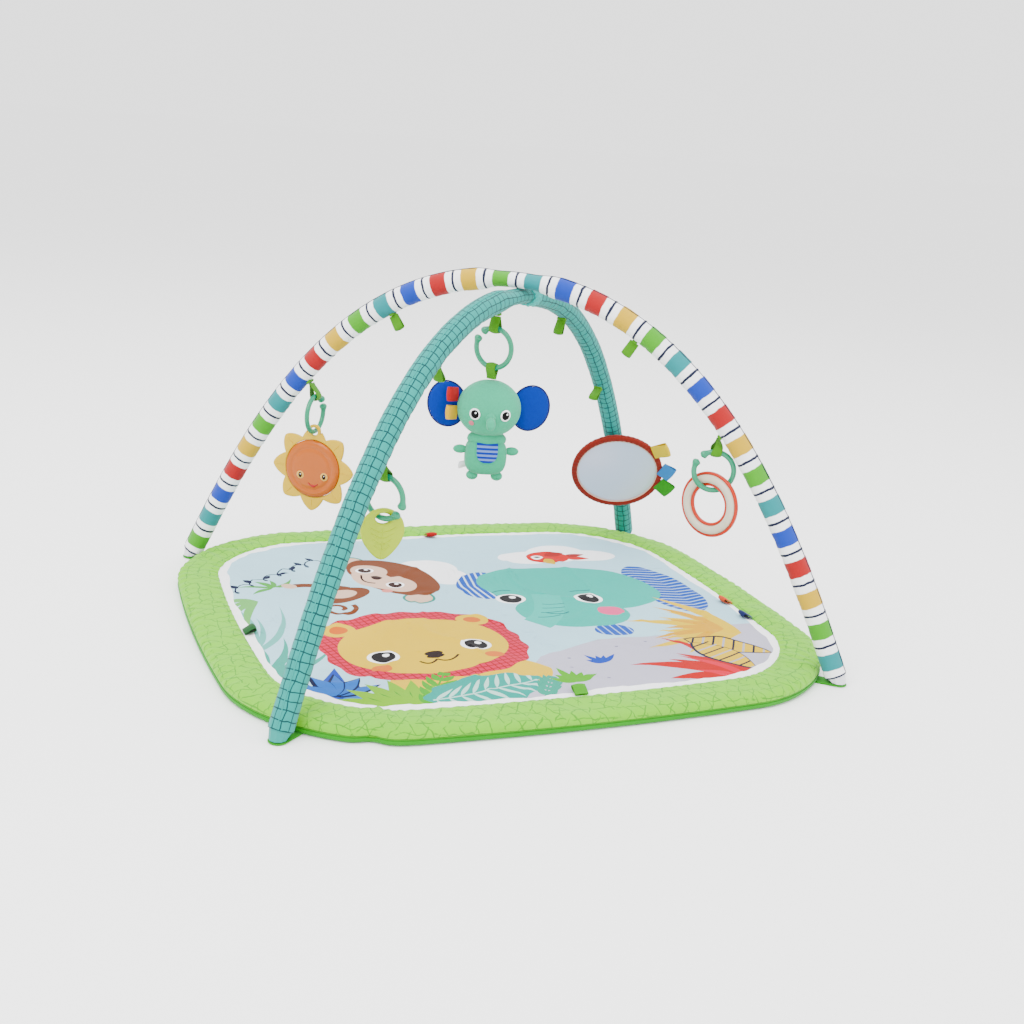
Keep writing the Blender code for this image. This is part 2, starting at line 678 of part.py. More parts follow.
SUN_S, RATTLE_S, LEAF_S, ELEPHANT_S, MIRROR_S = -0.375, 0.364, -0.385, -0.0585, 0.556
ELEPHANT_TURN = math.radians(34)
LEAF_AZIMUTH = math.radians(265)
RATTLE_AZIMUTH = math.radians(205)
RATTLE_LINK_WAY = Vector((math.cos(math.radians(-27)), math.sin(math.radians(-27)), 0))
RATTLE_DROP = RATTLE_INNER - LINK_WIRE - 0.0018


def hang_point(arch, s, ribbon, inward_share):
    """Where a link's wire hangs in its ribbon, straight under the sewing point or further in."""
    _, _, inward = arch.frame(s)
    way = (inward * inward_share - UP * (1 - inward_share)).normalized()
    return sewing_point(arch, s, 0.0014) + way * ribbon


def hung_link(prefix, number, arch, s, ribbon, across, gap_angle, inward_share=0.0):
    """A ribbon, its link and the pivots of the link and of the toy below it."""
    hang = hang_point(arch, s, ribbon, inward_share)
    sewn_across = arch.side if arch.side.dot(across) > 0 else -arch.side
    ribbon_loop(number, sewing_point(arch, s, 0.0014), hang, across, RIBBON_EYE, FRAME,
                sewn_across)
    swing = pivot(prefix + "_link_pivot", hang)
    build_link(prefix + "_link", hang, across, gap_angle, swing)
    hook = hang - UP * (2 * LINK_RADIUS)
    return hook, pivot(prefix + "_pivot", hook)


def azimuth(angle):
    return Vector((math.cos(angle), math.sin(angle), 0))


for old in list(bpy.data.objects):
    bpy.data.objects.remove(old)

FRAME = pivot("arch_frame_pivot", Vector((0, 0, 0)))
build_mat()
build_arch("striped", STRIPED, "stripe", ("back_left", "front_right"))
build_arch("teal", TEAL, "teal", ("front_left", "back_right"))
build_crossing_strap()
build_free_loops()

sun_hook, sun_pivot = hung_link("sun", "striped_loop_1", STRIPED, SUN_S, 0.020, STRIPED.side,
                                150, 0.45)
build_sun(sun_hook, STRIPED.side, sun_pivot)
leaf_hook, leaf_pivot = hung_link("leaf", "teal_loop_1", TEAL, LEAF_S, 0.017, TEAL.side, -30, 0.6)
build_leaf(leaf_hook, azimuth(LEAF_AZIMUTH), leaf_pivot)
elephant_hook, elephant_pivot = hung_link("elephant", "teal_loop_3", TEAL, ELEPHANT_S, 0.016,
                                          TEAL.side, 142)
build_elephant(elephant_hook, TEAL.side, elephant_pivot)
rattle_hook, rattle_pivot = hung_link("rattle", "striped_loop_4", STRIPED, RATTLE_S, 0.019,
                                      RATTLE_LINK_WAY, 142)
bead_pivot = pivot("rattle_bead_pivot", rattle_hook - UP * RATTLE_DROP)
build_rattle(rattle_hook, azimuth(RATTLE_AZIMUTH), rattle_pivot, bead_pivot)
mirror_pivot = pivot("mirror_pivot", TEAL.frame(MIRROR_S)[0])
build_mirror(TEAL, MIRROR_S, mirror_pivot)
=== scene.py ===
import math

import bmesh
import bpy
from mathutils import Matrix, Vector, noise
from mathutils.geometry import delaunay_2d_cdt, tessellate_polygon
from mathutils.kdtree import KDTree


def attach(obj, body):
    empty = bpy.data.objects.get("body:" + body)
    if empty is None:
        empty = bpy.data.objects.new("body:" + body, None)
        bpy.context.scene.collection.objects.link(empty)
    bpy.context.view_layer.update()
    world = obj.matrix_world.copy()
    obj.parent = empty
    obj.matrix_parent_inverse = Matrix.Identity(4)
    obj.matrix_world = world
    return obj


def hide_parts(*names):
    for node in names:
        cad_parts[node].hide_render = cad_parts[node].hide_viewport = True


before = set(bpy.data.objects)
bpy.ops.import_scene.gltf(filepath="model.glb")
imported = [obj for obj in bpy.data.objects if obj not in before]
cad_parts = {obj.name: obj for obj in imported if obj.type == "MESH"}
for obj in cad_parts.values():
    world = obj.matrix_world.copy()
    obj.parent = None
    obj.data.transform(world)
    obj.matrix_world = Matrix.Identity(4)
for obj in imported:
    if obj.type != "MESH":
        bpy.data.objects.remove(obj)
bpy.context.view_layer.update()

UP = Vector((0, 0, 1))

# ---- sizes ---------------------------------------------------------------------------------
MAT_HALF_X, MAT_HALF_Y = 0.430, 0.380
MAT_CORNER = 0.185
MAT_BOW = 0.062               # how much narrower the mat is at its corners
BORDER_WIDTH = 0.058
PANEL_TOP = 0.0200
PANEL_MARGIN = 0.012          # white edge of the print
PANEL_STEP = 0.0065           # mesh size of the printed cloth

FOOT_X, FOOT_Y, FOOT_HEIGHT = 0.380, 0.321, 0.012
TUBE_RADIUS = 0.0153
SLEEVE_RADIUS = 0.0155        # the CAD sleeve, from which the ribbons hang
TUBE_STEP = 0.0032
TUBE_SIDES = 40
STRIPE_PITCH = 0.0455
STRIPE_START = -0.022         # middle of the green stripe at the top of the striped arch
GRID_PITCH = 0.0113

LINK_RADIUS, LINK_WIRE, LINK_BULB = 0.0265, 0.0035, 0.0056
RIBBON_WIDTH, RIBBON_THICK, RIBBON_EYE = 0.014, 0.0010, 0.0058
SEAM_GAP = 0.0022             # between a sleeve and the ribbon that hangs from it
SLEEVE_OVERRUN = 0.0062       # how far the sleeve's closed end passes the tube's end
STRAP_START, STRAP_WIDTH = 0.021, 0.020       # along the teal arch from its top

SUN_DROP, SUN_TAB, SUN_BORE = 0.057, 0.0105, 0.0440
PETALS, PETAL_VALLEY, PETAL_TIP = 8, 0.0492, 0.0664
LEAF_FACING = 265             # degrees, counter-clockwise from +X, as are the next two
RATTLE_FACING, RATTLE_LINK_ALONG = 205, -27
RATTLE_BORE, RATTLE_RADIUS, BEAD = 0.0255, 0.0450, 0.0034
MIRROR_STATION, MIRROR_TURN = 0.556, -24      # along the teal arch, and degrees round it

HEAD_DROP, BODY_DROP = 0.056, 0.1225          # below the link that the elephant hangs in
HEAD_SIZE, BODY_SIZE = (0.0440, 0.0332, 0.0396), (0.0290, 0.0215, 0.0256)
EAR_SIZE = (0.0248, 0.0042, 0.0325)
ELEPHANT_TURN = 34            # degrees that its front is turned from square to its link
BOXY = 3.2                    # how far its body is from an oval (2) towards a box
TAG_SIDE = 1                  # its tags are on the side of its right ear

FLOOR_LEVEL = -0.0008
CAMERA_PLACE = (-0.6815, -1.6276, 0.6819)
CAMERA_HEADING, CAMERA_TILT, CAMERA_ROLL = 23.668, 16.765, 5.006    # right of +Y, down, round
CAMERA_LENS, CAMERA_SHIFT = 45.11, (-0.0069, 0.0073)


# ---- colours -------------------------------------------------------------------------------
RICHNESS = 1.38               # how much stronger than plain screen colour the dyes are
DEPTH = 1.15                  # how much deeper


def rgb(red, green, blue):
    """Dye colour from a screen colour, deepened because the studio is brightly lit."""
    made = []
    for value in (red, green, blue):
        share = value / 255
        made.append(share / 12.92 if share <= 0.04045 else ((share + 0.055) / 1.055) ** 2.4)
    grey = sum(made) / 3
    level = 0.42 + 0.53 * grey ** 3
    return tuple(max(grey + (value - grey) * RICHNESS, 0.001) ** DEPTH * level for value in made)


LIME, LIME_DARK, MAT_SIDE = rgb(164, 236, 70), rgb(96, 176, 56), rgb(84, 184, 48)
WHITE, NAVY = (0.88, 0.88, 0.90), rgb(34, 42, 78)
RED, YELLOW, GREEN = rgb(204, 26, 74), rgb(238, 204, 0), rgb(112, 196, 52)
STRIPE_TEAL, BLUE = rgb(66, 174, 178), rgb(60, 106, 208)
TEAL, TEAL_LINE, STRAP_TEAL = rgb(84, 188, 180), rgb(20, 88, 92), rgb(110, 214, 206)
RIBBON_GREEN, LINK_GREEN = rgb(112, 176, 58), rgb(84, 190, 152)
SUN_ORANGE, PETAL_YELLOW = rgb(222, 138, 0), rgb(246, 212, 24)
LEAF_GREEN, RIM_ORANGE, WINDOW_GREEN = rgb(216, 234, 0), rgb(228, 100, 52), rgb(244, 238, 222)
BEAD_OLIVE = rgb(170, 168, 70)
MINT, EAR_BLUE, PIPING = rgb(116, 218, 182), rgb(64, 96, 190), rgb(36, 48, 120)
RUST, PANE, SKY = rgb(166, 72, 62), rgb(232, 232, 244), rgb(204, 234, 246)


# ---- materials -----------------------------------------------------------------------------
class Net:
    """A Principled material and short calls that add nodes to it."""

    def __init__(self, name, colour, rough, **sockets):
        self.material = bpy.data.materials.new(name)
        self.material.use_nodes = True
        self.tree = self.material.node_tree
        self.shader = self.tree.nodes["Principled BSDF"]
        self.shader.inputs["Base Color"].default_value = (*colour, 1)
        self.shader.inputs["Roughness"].default_value = rough
        for socket, value in sockets.items():
            self.shader.inputs[socket.replace("_", " ")].default_value = value

    def put(self, socket, value):
        if isinstance(value, bpy.types.NodeSocket):
            self.tree.links.new(value, socket)
        else:
            socket.default_value = value

    def math(self, operation, first, second=0.0):
        node = self.tree.nodes.new("ShaderNodeMath")
        node.operation = operation
        self.put(node.inputs[0], first)
        self.put(node.inputs[1], second)
        return node.outputs[0]

    def mix(self, share, first, second):
        node = self.tree.nodes.new("ShaderNodeMix")
        node.data_type = "RGBA"
        self.put(node.inputs[0], share)
        self.put(node.inputs[6], first)
        self.put(node.inputs[7], second)
        return node.outputs[2]

    def place(self):
        """Where the point is on the object at rest, in metres."""
        return self.tree.nodes.new("ShaderNodeTexCoord").outputs["Object"]

    def along(self):
        """Metres along and round a sleeve, from its UV map."""
        split = self.tree.nodes.new("ShaderNodeSeparateXYZ")
        self.put(split.inputs[0], self.tree.nodes.new("ShaderNodeTexCoord").outputs["UV"])
        return split.outputs[0], split.outputs[1]

    def noise(self, scale, detail=2.0):
        node = self.tree.nodes.new("ShaderNodeTexNoise")
        self.put(node.inputs["Vector"], self.place())
        node.inputs["Scale"].default_value = scale
        node.inputs["Detail"].default_value = detail
        return node.outputs["Fac"]

    def bands(self, scale, direction):
        node = self.tree.nodes.new("ShaderNodeTexWave")
        node.bands_direction = direction
        self.put(node.inputs["Vector"], self.place())
        node.inputs["Scale"].default_value = scale
        node.inputs["Distortion"].default_value = 0.6
        return node.outputs["Fac"]

    def stored(self, name):
        node = self.tree.nodes.new("ShaderNodeAttribute")
        node.attribute_name = name
        return node.outputs["Color"]

    def between(self, value, low, high):
        """0 below low, 1 above high, smooth between."""
        node = self.tree.nodes.new("ShaderNodeMapRange")
        node.interpolation_type = "SMOOTHSTEP"
        self.put(node.inputs["Value"], value)
        node.inputs["From Min"].default_value = low
        node.inputs["From Max"].default_value = high
        return node.outputs["Result"]

    def paint(self, colour, vary=0.0, scale=30.0):
        """Base colour, a little lighter and darker from place to place."""
        if vary:
            shade = self.math("MULTIPLY_ADD", self.noise(scale), 2 * vary)
            shade.node.inputs[2].default_value = 1 - vary
            scaled = self.tree.nodes.new("ShaderNodeVectorMath")
            scaled.operation = "SCALE"
            self.put(scaled.inputs[0], colour if not isinstance(colour, tuple) else colour[:3])
            self.put(scaled.inputs["Scale"], shade)
            colour = scaled.outputs[0]
        self.put(self.shader.inputs["Base Color"], colour)

    def bump(self, height, depth):
        node = self.tree.nodes.new("ShaderNodeBump")
        node.inputs["Distance"].default_value = depth
        node.inputs["Strength"].default_value = 1.0
        self.put(node.inputs["Height"], height)
        self.tree.links.new(node.outputs["Normal"], self.shader.inputs["Normal"])

    def weave(self, period=0.0011, depth=0.00016, nap=0.5):
        """Crossing threads with a fuzzy nap over them."""
        scale = 2 * math.pi / (20 * period)
        threads = self.math("MAXIMUM", self.bands(scale, "X"), self.bands(scale, "Y"))
        upright = self.math("MAXIMUM", threads, self.bands(scale, "Z"))
        fuzz = self.math("MULTIPLY", self.noise(900.0, 1.0), nap)
        self.bump(self.math("ADD", self.math("MULTIPLY", upright, 1 - nap), fuzz), depth)


def cloth(name, colour, rough=0.85, vary=0.08, sheen=0.10, **weave):
    net = Net(name, colour, rough, Sheen_Weight=sheen, Sheen_Roughness=0.5,
              Specular_IOR_Level=0.2)
    net.paint((*colour, 1), vary)
    net.weave(**weave)
    return net.material


def plastic(name, colour, rough=0.3, see_through=0.0, coat=0.0, gloss=0.30):
    net = Net(name, colour, rough, Specular_IOR_Level=gloss, IOR=1.49, Coat_Weight=coat,
              Coat_Roughness=0.12, Transmission_Weight=see_through)
    net.paint((*colour, 1), 0.03, 60.0)
    net.bump(net.noise(320.0, 1.0), 0.00004)
    return net.material


def plush(name, colour):
    """Short pile: fine clumps that catch the light at the edges."""
    net = Net(name, colour, 0.95, Sheen_Weight=0.22, Sheen_Roughness=0.4,
              Specular_IOR_Level=0.15)
    net.paint((*colour, 1), 0.14, 420.0)
    pile = net.math("ADD", net.noise(1500.0, 2.0), net.noise(260.0, 2.0))
    net.bump(pile, 0.0005)
    return net.material


def printed_cloth(name, sheen=0.05):
    """The mat's printed cloth, coloured face by face."""
    net = Net(name, WHITE, 0.8, Sheen_Weight=sheen, Sheen_Roughness=0.5, Specular_IOR_Level=0.10)
    net.paint(net.stored("Print"), 0.035, 18.0)
    net.weave()
    return net.material


def striped_cloth():
    """White sleeve with five stripe colours in turn and a fine dark line between stripes."""
    net = Net("striped_cloth", WHITE, 0.82, Sheen_Weight=0.10, Sheen_Roughness=0.5,
              Specular_IOR_Level=0.3)
    run, _ = net.along()
    wobble = net.math("MULTIPLY", net.math("SUBTRACT", net.noise(95.0, 2.0), 0.5), 0.0030)
    steps = net.math("DIVIDE", net.math("ADD", run, wobble), STRIPE_PITCH)
    # halfway between two stripes is where the count steps on
    count = net.math("ADD", steps, 100.5 - STRIPE_START / STRIPE_PITCH)
    within = net.math("ABSOLUTE", net.math("SUBTRACT", net.math("FRACT", count), 0.5))
    turn = net.math("MODULO", net.math("FLOOR", count), 5.0)
    colour = (*GREEN, 1)
    for number, following in enumerate((STRIPE_TEAL, BLUE, RED, YELLOW)):
        colour = net.mix(net.math("GREATER_THAN", turn, number + 0.5), colour, (*following, 1))
    outside = net.between(within, 0.236, 0.262)
    line = net.between(within, 0.4580, 0.4680)
    ground = net.mix(line, (*WHITE, 1), (*NAVY, 1))
    net.paint(net.mix(outside, colour, ground), 0.05)
    net.weave(0.0010, 0.00018)
    return net.material


def grid_cloth():
    """Teal sleeve with a loosely drawn grid of dark lines."""
    net = Net("grid_cloth", TEAL, 0.85, Sheen_Weight=0.10, Sheen_Roughness=0.5,
              Specular_IOR_Level=0.25)
    run, turn = net.along()
    lines = None
    for axis, pitch, half in ((run, GRID_PITCH, 0.052), (turn, 2 * math.pi * TUBE_RADIUS / 9, 0.050)):
        wobble = net.math("MULTIPLY", net.math("SUBTRACT", net.noise(55.0, 2.0), 0.5), 0.0050)
        count = net.math("DIVIDE", net.math("ADD", axis, wobble), pitch)
        apart = net.math("ABSOLUTE", net.math("SUBTRACT",
                                              net.math("FRACT", net.math("ADD", count, 100.0)), 0.5))
        drawn = net.math("SUBTRACT", 1.0, net.between(apart, half, half + 0.030))
        lines = drawn if lines is None else net.math("MAXIMUM", lines, drawn)
    worn = net.math("MULTIPLY", lines, net.between(net.noise(30.0, 3.0), 0.22, 0.36))
    net.paint(net.mix(worn, (*TEAL, 1), (*TEAL_LINE, 1)), 0.08)
    net.weave(0.0011, 0.0002)
    return net.material


# ---- mesh helpers --------------------------------------------------------------------------
def make(name, shape, material, body, replaced=()):
    """One piece of the object from its world points and faces, riding on its body.
    """
    points, faces = shape
    mesh = bpy.data.meshes.new(name)
    mesh.from_pydata([tuple(p) for p in points], [], faces)
    outwards = bmesh.new()
    outwards.from_mesh(mesh)
    bmesh.ops.recalc_face_normals(outwards, faces=outwards.faces)
    outwards.to_mesh(mesh)
    outwards.free()
    mesh.shade_smooth()
    mesh.set_sharp_from_angle(angle=math.radians(50))
    mesh.materials.append(material)
    made = bpy.data.objects.new(name, mesh)
    bpy.context.scene.collection.objects.link(made)
    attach(made, body)
    if replaced:
        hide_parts(*replaced)
    return made


def skin(rings, closed=False):
    """Points and faces of a row of rings.  A ring of one point is a tip."""
    points, faces, starts = [], [], []
    for ring in rings:
        starts.append(len(points))
        points.extend(ring)
    rows = len(rings) if closed else len(rings) - 1
    for row in range(rows):
        other = (row + 1) % len(rings)
        low, high, a, b = rings[row], rings[other], starts[row], starts[other]
        count = max(len(low), len(high))
        for index in range(count):
            after = (index + 1) % count
            if len(low) == 1:
                faces.append((a, b + after, b + index))
            elif len(high) == 1:
                faces.append((a + index, a + after, b))
            else:
                faces.append((a + index, a + after, b + after, b + index))
    if not closed:
        for ring, start in ((rings[0], starts[0]), (rings[-1], starts[-1])):
            if len(ring) > 2:
                faces.append(tuple(range(start, start + len(ring))))
    return points, faces


def circle(centre, axis_u, axis_v, radius, sides):
    return [centre + axis_u * (radius * math.cos(2 * math.pi * i / sides))
            + axis_v * (radius * math.sin(2 * math.pi * i / sides)) for i in range(sides)]


def cross_axes(axis):
    axis = axis.normalized()
    aside = axis.orthogonal() if abs(axis.z) > 0.99 else UP.cross(axis)
    aside.normalize()
    return aside, axis.cross(aside)


def turned(profile, centre, axis, sides=64, closed=False, warp=None):
    """Turn (radius, height) points round an axis; warp(angle, radius) adds to the height."""
    axis = axis.normalized()
    axis_u, axis_v = cross_axes(axis)
    rings = []
    for radius, height in profile:
        if radius == 0:
            rings.append([centre + axis * height])
            continue
        ring = []
        for i in range(sides):
            angle = 2 * math.pi * i / sides
            lift = height + (warp(angle, radius) if warp else 0.0)
            ring.append(centre + axis * lift + axis_u * (radius * math.cos(angle))
                        + axis_v * (radius * math.sin(angle)))
        rings.append(ring)
    return skin(rings, closed)


def rounded(low, high, bottom, top, radius, steps=5):
    """Section of a flat ring with rounded edges, as (radius, height), all the way round."""
    corners = ((high - radius, bottom + radius, -90), (high - radius, top - radius, 0),
               (low + radius, top - radius, 90), (low + radius, bottom + radius, 180))
    section = []
    for x, y, start in corners:
        for step in range(steps + 1):
            angle = math.radians(start + 90 * step / steps)
            section.append((x + radius * math.cos(angle), y + radius * math.sin(angle)))
    return section


def cord_mesh(path, radius, sides=10, closed=False):
    """A thin round rope along a path of points."""
    rings = []
    count = len(path)
    last_u = None
    for index, point in enumerate(path):
        ahead = path[(index + 1) % count] if closed else path[min(index + 1, count - 1)]
        behind = path[index - 1] if closed or index else path[0]
        run = (ahead - behind).normalized()
        if last_u is None:
            last_u = run.orthogonal().normalized()
        last_u = (last_u - run * last_u.dot(run)).normalized()
        rings.append(circle(point, last_u, run.cross(last_u), radius, sides))
    return skin(rings, closed)


def moved_in(loop, shift):
    """The loop moved to its left, which is into the plate from an outline or a hole's edge."""
    moved = []
    for i, here in enumerate(loop):
        before, after = Vector(loop[i - 1]), Vector(loop[(i + 1) % len(loop)])
        run = (after - before).normalized()
        moved.append(Vector(here) + Vector((-run.y, run.x)) * shift)
    return moved


def hole(radius_x, radius_y, sides, level=0.0):
    """Clockwise points round an oval hole whose middle is at that level."""
    turns = [-2 * math.pi * i / sides for i in range(sides)]
    return [(radius_x * math.cos(turn), level + radius_y * math.sin(turn)) for turn in turns]


def slab(outline, holes, centre, axis_u, axis_v, thick, edge):
    """A flat plate with rounded edges; its outline runs counter-clockwise, its holes clockwise."""
    steps = 4
    points, faces, starts = [], [], []
    for loop in [outline] + holes:
        start, size = len(points), len(loop)
        starts.append((start, size))
        for step in range(2 * steps + 1):
            angle = math.radians(90 - 90 * step / steps)
            height = (thick / 2 - edge) * (1 if step < steps else -1 if step > steps else 0)
            height += edge * math.sin(angle)
            inner = moved_in(loop, edge * (1 - math.cos(angle)))
            points.extend((p.x, p.y, height) for p in inner)
        for step in range(2 * steps):
            for i in range(size):
                a = start + step * size + i
                b = start + step * size + (i + 1) % size
                faces.append((a, b, b + size, a + size))
    for level in (0, 2 * steps):
        rims, numbers = [], []
        for start, size in starts:
            first = start + level * size
            rims.append([Vector((*points[first + i][:2], 0)) for i in range(size)])
            numbers.extend(range(first, first + size))
        for triangle in tessellate_polygon(rims):
            faces.append(tuple(numbers[i] for i in triangle))
    normal = axis_u.cross(axis_v)
    world = [centre + axis_u * x + axis_v * y + normal * height for x, y, height in points]
    return world, faces


def ball(centre, size, axes, sides=32, rows=20, warp=None):
    """A stuffed ellipsoid; warp(direction) scales it from place to place."""
    rings = []
    for row in range(rows + 1):
        latitude = math.pi * (row / rows - 0.5)
        count = 1 if row in (0, rows) else sides
        ring = []
        for i in range(count):
            angle = 2 * math.pi * i / sides
            way = Vector((math.cos(latitude) * math.cos(angle),
                          math.cos(latitude) * math.sin(angle), math.sin(latitude)))
            scale = warp(way) if warp else 1.0
            ring.append(centre + axes[0] * (size[0] * way.x * scale)
                        + axes[1] * (size[1] * way.y * scale) + axes[2] * (size[2] * way.z * scale))
        rings.append(ring)
    return skin(rings)


def toward(degrees):
    """A level direction, counter-clockwise from +X."""
    return Vector((math.cos(math.radians(degrees)), math.sin(math.radians(degrees)), 0))


def smoothstep(low, high, value):
    share = min(max((value - low) / (high - low), 0.0), 1.0)
    return share * share * (3 - 2 * share)


def bake(obj):
    """Keep the shape its modifiers give it."""
    graph = bpy.context.evaluated_depsgraph_get()
    shaped = bpy.data.meshes.new_from_object(obj.evaluated_get(graph))
    obj.modifiers.clear()
    obj.data = shaped


def stuff(obj, voxel, limit, seam):
    """Blow a piece up like sewn cloth over stuffing; points where seam(point) is true stay put."""
    remesh = obj.modifiers.new("even_mesh", "REMESH")
    remesh.mode = "VOXEL"
    remesh.voxel_size = voxel
    bake(obj)
    rest = [v.co.copy() for v in obj.data.vertices]
    pinned = obj.vertex_groups.new(name="seam")
    pinned.add([i for i, point in enumerate(rest) if seam(point)], 1.0, "REPLACE")
    cloth_modifier = obj.modifiers.new("stuffing", "CLOTH")
    settings = cloth_modifier.settings
    settings.quality = 5
    settings.mass = 0.15
    settings.use_pressure = True
    settings.uniform_pressure_force = 4.0
    settings.effector_weights.gravity = 0.0
    settings.vertex_group_mass = "seam"
    cloth_modifier.collision_settings.use_collision = False
    for step in range(1, 21):
        bpy.context.scene.frame_set(step)
    graph = bpy.context.evaluated_depsgraph_get()
    blown = [v.co.copy() for v in obj.evaluated_get(graph).data.vertices]
    obj.modifiers.clear()
    bpy.context.scene.frame_set(1)
    for vertex, before, after in zip(obj.data.vertices, rest, blown):
        move = after - before
        vertex.co = before + move * min(1.0, limit / max(move.length, 1e-6))
    obj.data.shade_smooth()
    smooth = obj.modifiers.new("smooth", "SUBSURF")
    smooth.levels = smooth.render_levels = 1


# ---- the mat -------------------------------------------------------------------------------
def mat_edge(count):
    """Evenly spaced points on the mat's edge with the way inwards, counter-clockwise."""
    raw = []
    reach_x, reach_y = MAT_HALF_X - MAT_CORNER, MAT_HALF_Y - MAT_CORNER
    for quarter, (sign_x, sign_y) in enumerate(((1, -1), (1, 1), (-1, 1), (-1, -1))):
        middle = Vector((sign_x * reach_x, sign_y * reach_y))
        for index in range(25):
            angle = math.radians(-90 + 90 * quarter + 90 * index / 24)
            raw.append(middle + MAT_CORNER * Vector((math.cos(angle), math.sin(angle))))
        following = ((1, 1), (-1, 1), (-1, -1), (1, -1))[quarter]
        angle = math.radians(90 * quarter)
        target = Vector((following[0] * reach_x, following[1] * reach_y))
        target += MAT_CORNER * Vector((math.cos(angle), math.sin(angle)))
        last = raw[-1]
        raw.extend(last.lerp(target, index / 24) for index in range(1, 24))
    bowed = [Vector((x * (1 - MAT_BOW * (y / MAT_HALF_Y) ** 2), y * (1 - MAT_BOW * (x / MAT_HALF_X) ** 2)))
             for x, y in raw]
    lengths = [0.0]
    for index, point in enumerate(bowed):
        lengths.append(lengths[-1] + (bowed[(index + 1) % len(bowed)] - point).length)
    total = lengths[-1]
    even, index = [], 0
    for step in range(count):
        want = total * step / count
        while lengths[index + 1] < want:
            index += 1
        share = (want - lengths[index]) / (lengths[index + 1] - lengths[index])
        even.append(bowed[index].lerp(bowed[(index + 1) % len(bowed)], share))
    placed = []
    for index, point in enumerate(even):
        run = (even[(index + 1) % count] - even[index - 1]).normalized()
        placed.append((point, Vector((-run.y, run.x))))
    return placed, total


def puckers(x, y):
    """Folds in the cloth round the back left foot, and a little at the others."""
    lift = 0.0
    for sign_x, sign_y, depth in ((-1, 1, 0.0022), (1, 1, 0.0012), (1, -1, 0.0012), (-1, -1, 0.0010)):
        away = Vector((x - sign_x * FOOT_X, y - sign_y * FOOT_Y))
        angle = math.atan2(away.y, away.x)
        fold = math.sin(15 * angle + 2.2 * math.sin(3 * angle + sign_x))
        lift += depth * fold * math.exp(-(away.length / 0.085) ** 2)
    return lift


def edge_notch(x, y):
    """The front edge draws in a little near its left end."""
    return 0.0075 * math.exp(-((x + 0.285) / 0.014) ** 2) if y < -0.25 else 0.0


BORDER_SECTION = ((0.0035, 0.0074), (0.0004, 0.0098), (0.0000, 0.0128), (0.0016, 0.0160),
                  (0.0055, 0.0186), (0.0110, 0.0202), (0.0180, 0.0211), (0.0260, 0.0215),
                  (0.0340, 0.0216), (0.0420, 0.0214), (0.0480, 0.0209), (0.0530, 0.0202),
                  (0.0563, 0.0192), (0.0583, 0.0175))


def build_border():
    """Quilted ring of cloth round the print, with its darker side band and backing."""
    count = 820
    edge, total = mat_edge(count)
    across = [BORDER_SECTION[0]]
    for before, after in zip(BORDER_SECTION, BORDER_SECTION[1:]):
        across.append(tuple(0.5 * (a + b) for a, b in zip(before, after)))
        across.append(after)
    under = ((0.0560, 0.0120), (0.0300, 0.0095), (0.0070, 0.0078))
    rings, marks = [], []
    for index, (point, inward) in enumerate(edge):
        run = total * index / count
        ring, mark = [], []
        travel = 0.0
        last = None
        for inset, height in across:
            travel += 0.0 if last is None else math.hypot(inset - last[0], height - last[1])
            last = (inset, height)
            body = math.sin(math.pi * min(max(inset / BORDER_WIDTH, 0.0), 1.0))
            spot = point + inward * (inset + edge_notch(*point))
            # gathers run in from both seams, soft lumps lie between them
            gather = math.sin(run * 2 * math.pi / 0.019 + 3 * noise.noise(Vector((run * 18, 0, 3))))
            strength = 0.5 + noise.noise(Vector((run * 11, 4, 0)))
            seams = math.exp(-(inset / 0.013) ** 2) + 0.8 * math.exp(-((BORDER_WIDTH - inset) / 0.014) ** 2)
            lump = noise.noise(Vector((spot.x * 26, spot.y * 26, 1.5)))
            lift = 0.0015 * gather * strength * seams + 0.0026 * body * lump
            lift += puckers(*spot) * (0.35 + 0.65 * body)
            level = max(height + lift * smoothstep(0.007, 0.014, height), 0.0072)
            outward = 0.0007 * gather * strength * math.exp(-((height - 0.013) / 0.004) ** 2)
            spot -= inward * (outward if inset < 0.004 else 0.0)
            ring.append(Vector((*spot, level)))
            mark.append((run, travel))
        for inset, height in under:
            ring.append(Vector((*(point + inward * inset), height)))
            mark.append((run, 0.0))
        rings.append(ring)
        marks.extend(mark)
    shape = skin(rings, closed=True)
    border = make("mat_quilted_border", shape, lime_cloth(), "mat",
                  ("mat_border", "mat_batting"))
    write_uv(border, marks, total)
    side = []
    for inset, height in ((0.0060, 0.0), (0.0016, 0.0010), (-0.0002, 0.0034), (0.0004, 0.0062),
                          (0.0040, 0.0078)):
        side.append([Vector((*(p + n * (inset + edge_notch(*p))), height)) for p, n in edge[::2]])
    shape = skin(side)
    make("mat_backing_cloth", shape, cloth("backing_cloth", MAT_SIDE), "mat",
         ("mat_backing",))
    # fine cord in the seam between the border and its side band
    seam = [Vector((*(p + n * (0.0022 + edge_notch(*p))), 0.0080)) for p, n in edge]
    shape = cord_mesh(seam, 0.0011, 6, closed=True)
    make("mat_edge_piping", shape, cloth("piping_cloth", rgb(112, 196, 66)), "mat")


def write_uv(obj, marks, wrap, wrap_axis=0):
    """UV map in metres from one (u, v) for each point; along wrap_axis it closes after wrap."""
    layer = obj.data.uv_layers.new(name="Metres")
    for polygon in obj.data.polygons:
        used = [list(marks[i]) for i in polygon.vertices]
        high = max(mark[wrap_axis] for mark in used)
        for loop_index, mark in zip(polygon.loop_indices, used):
            if high - mark[wrap_axis] > wrap / 2:
                mark[wrap_axis] += wrap
            layer.data[loop_index].uv = mark


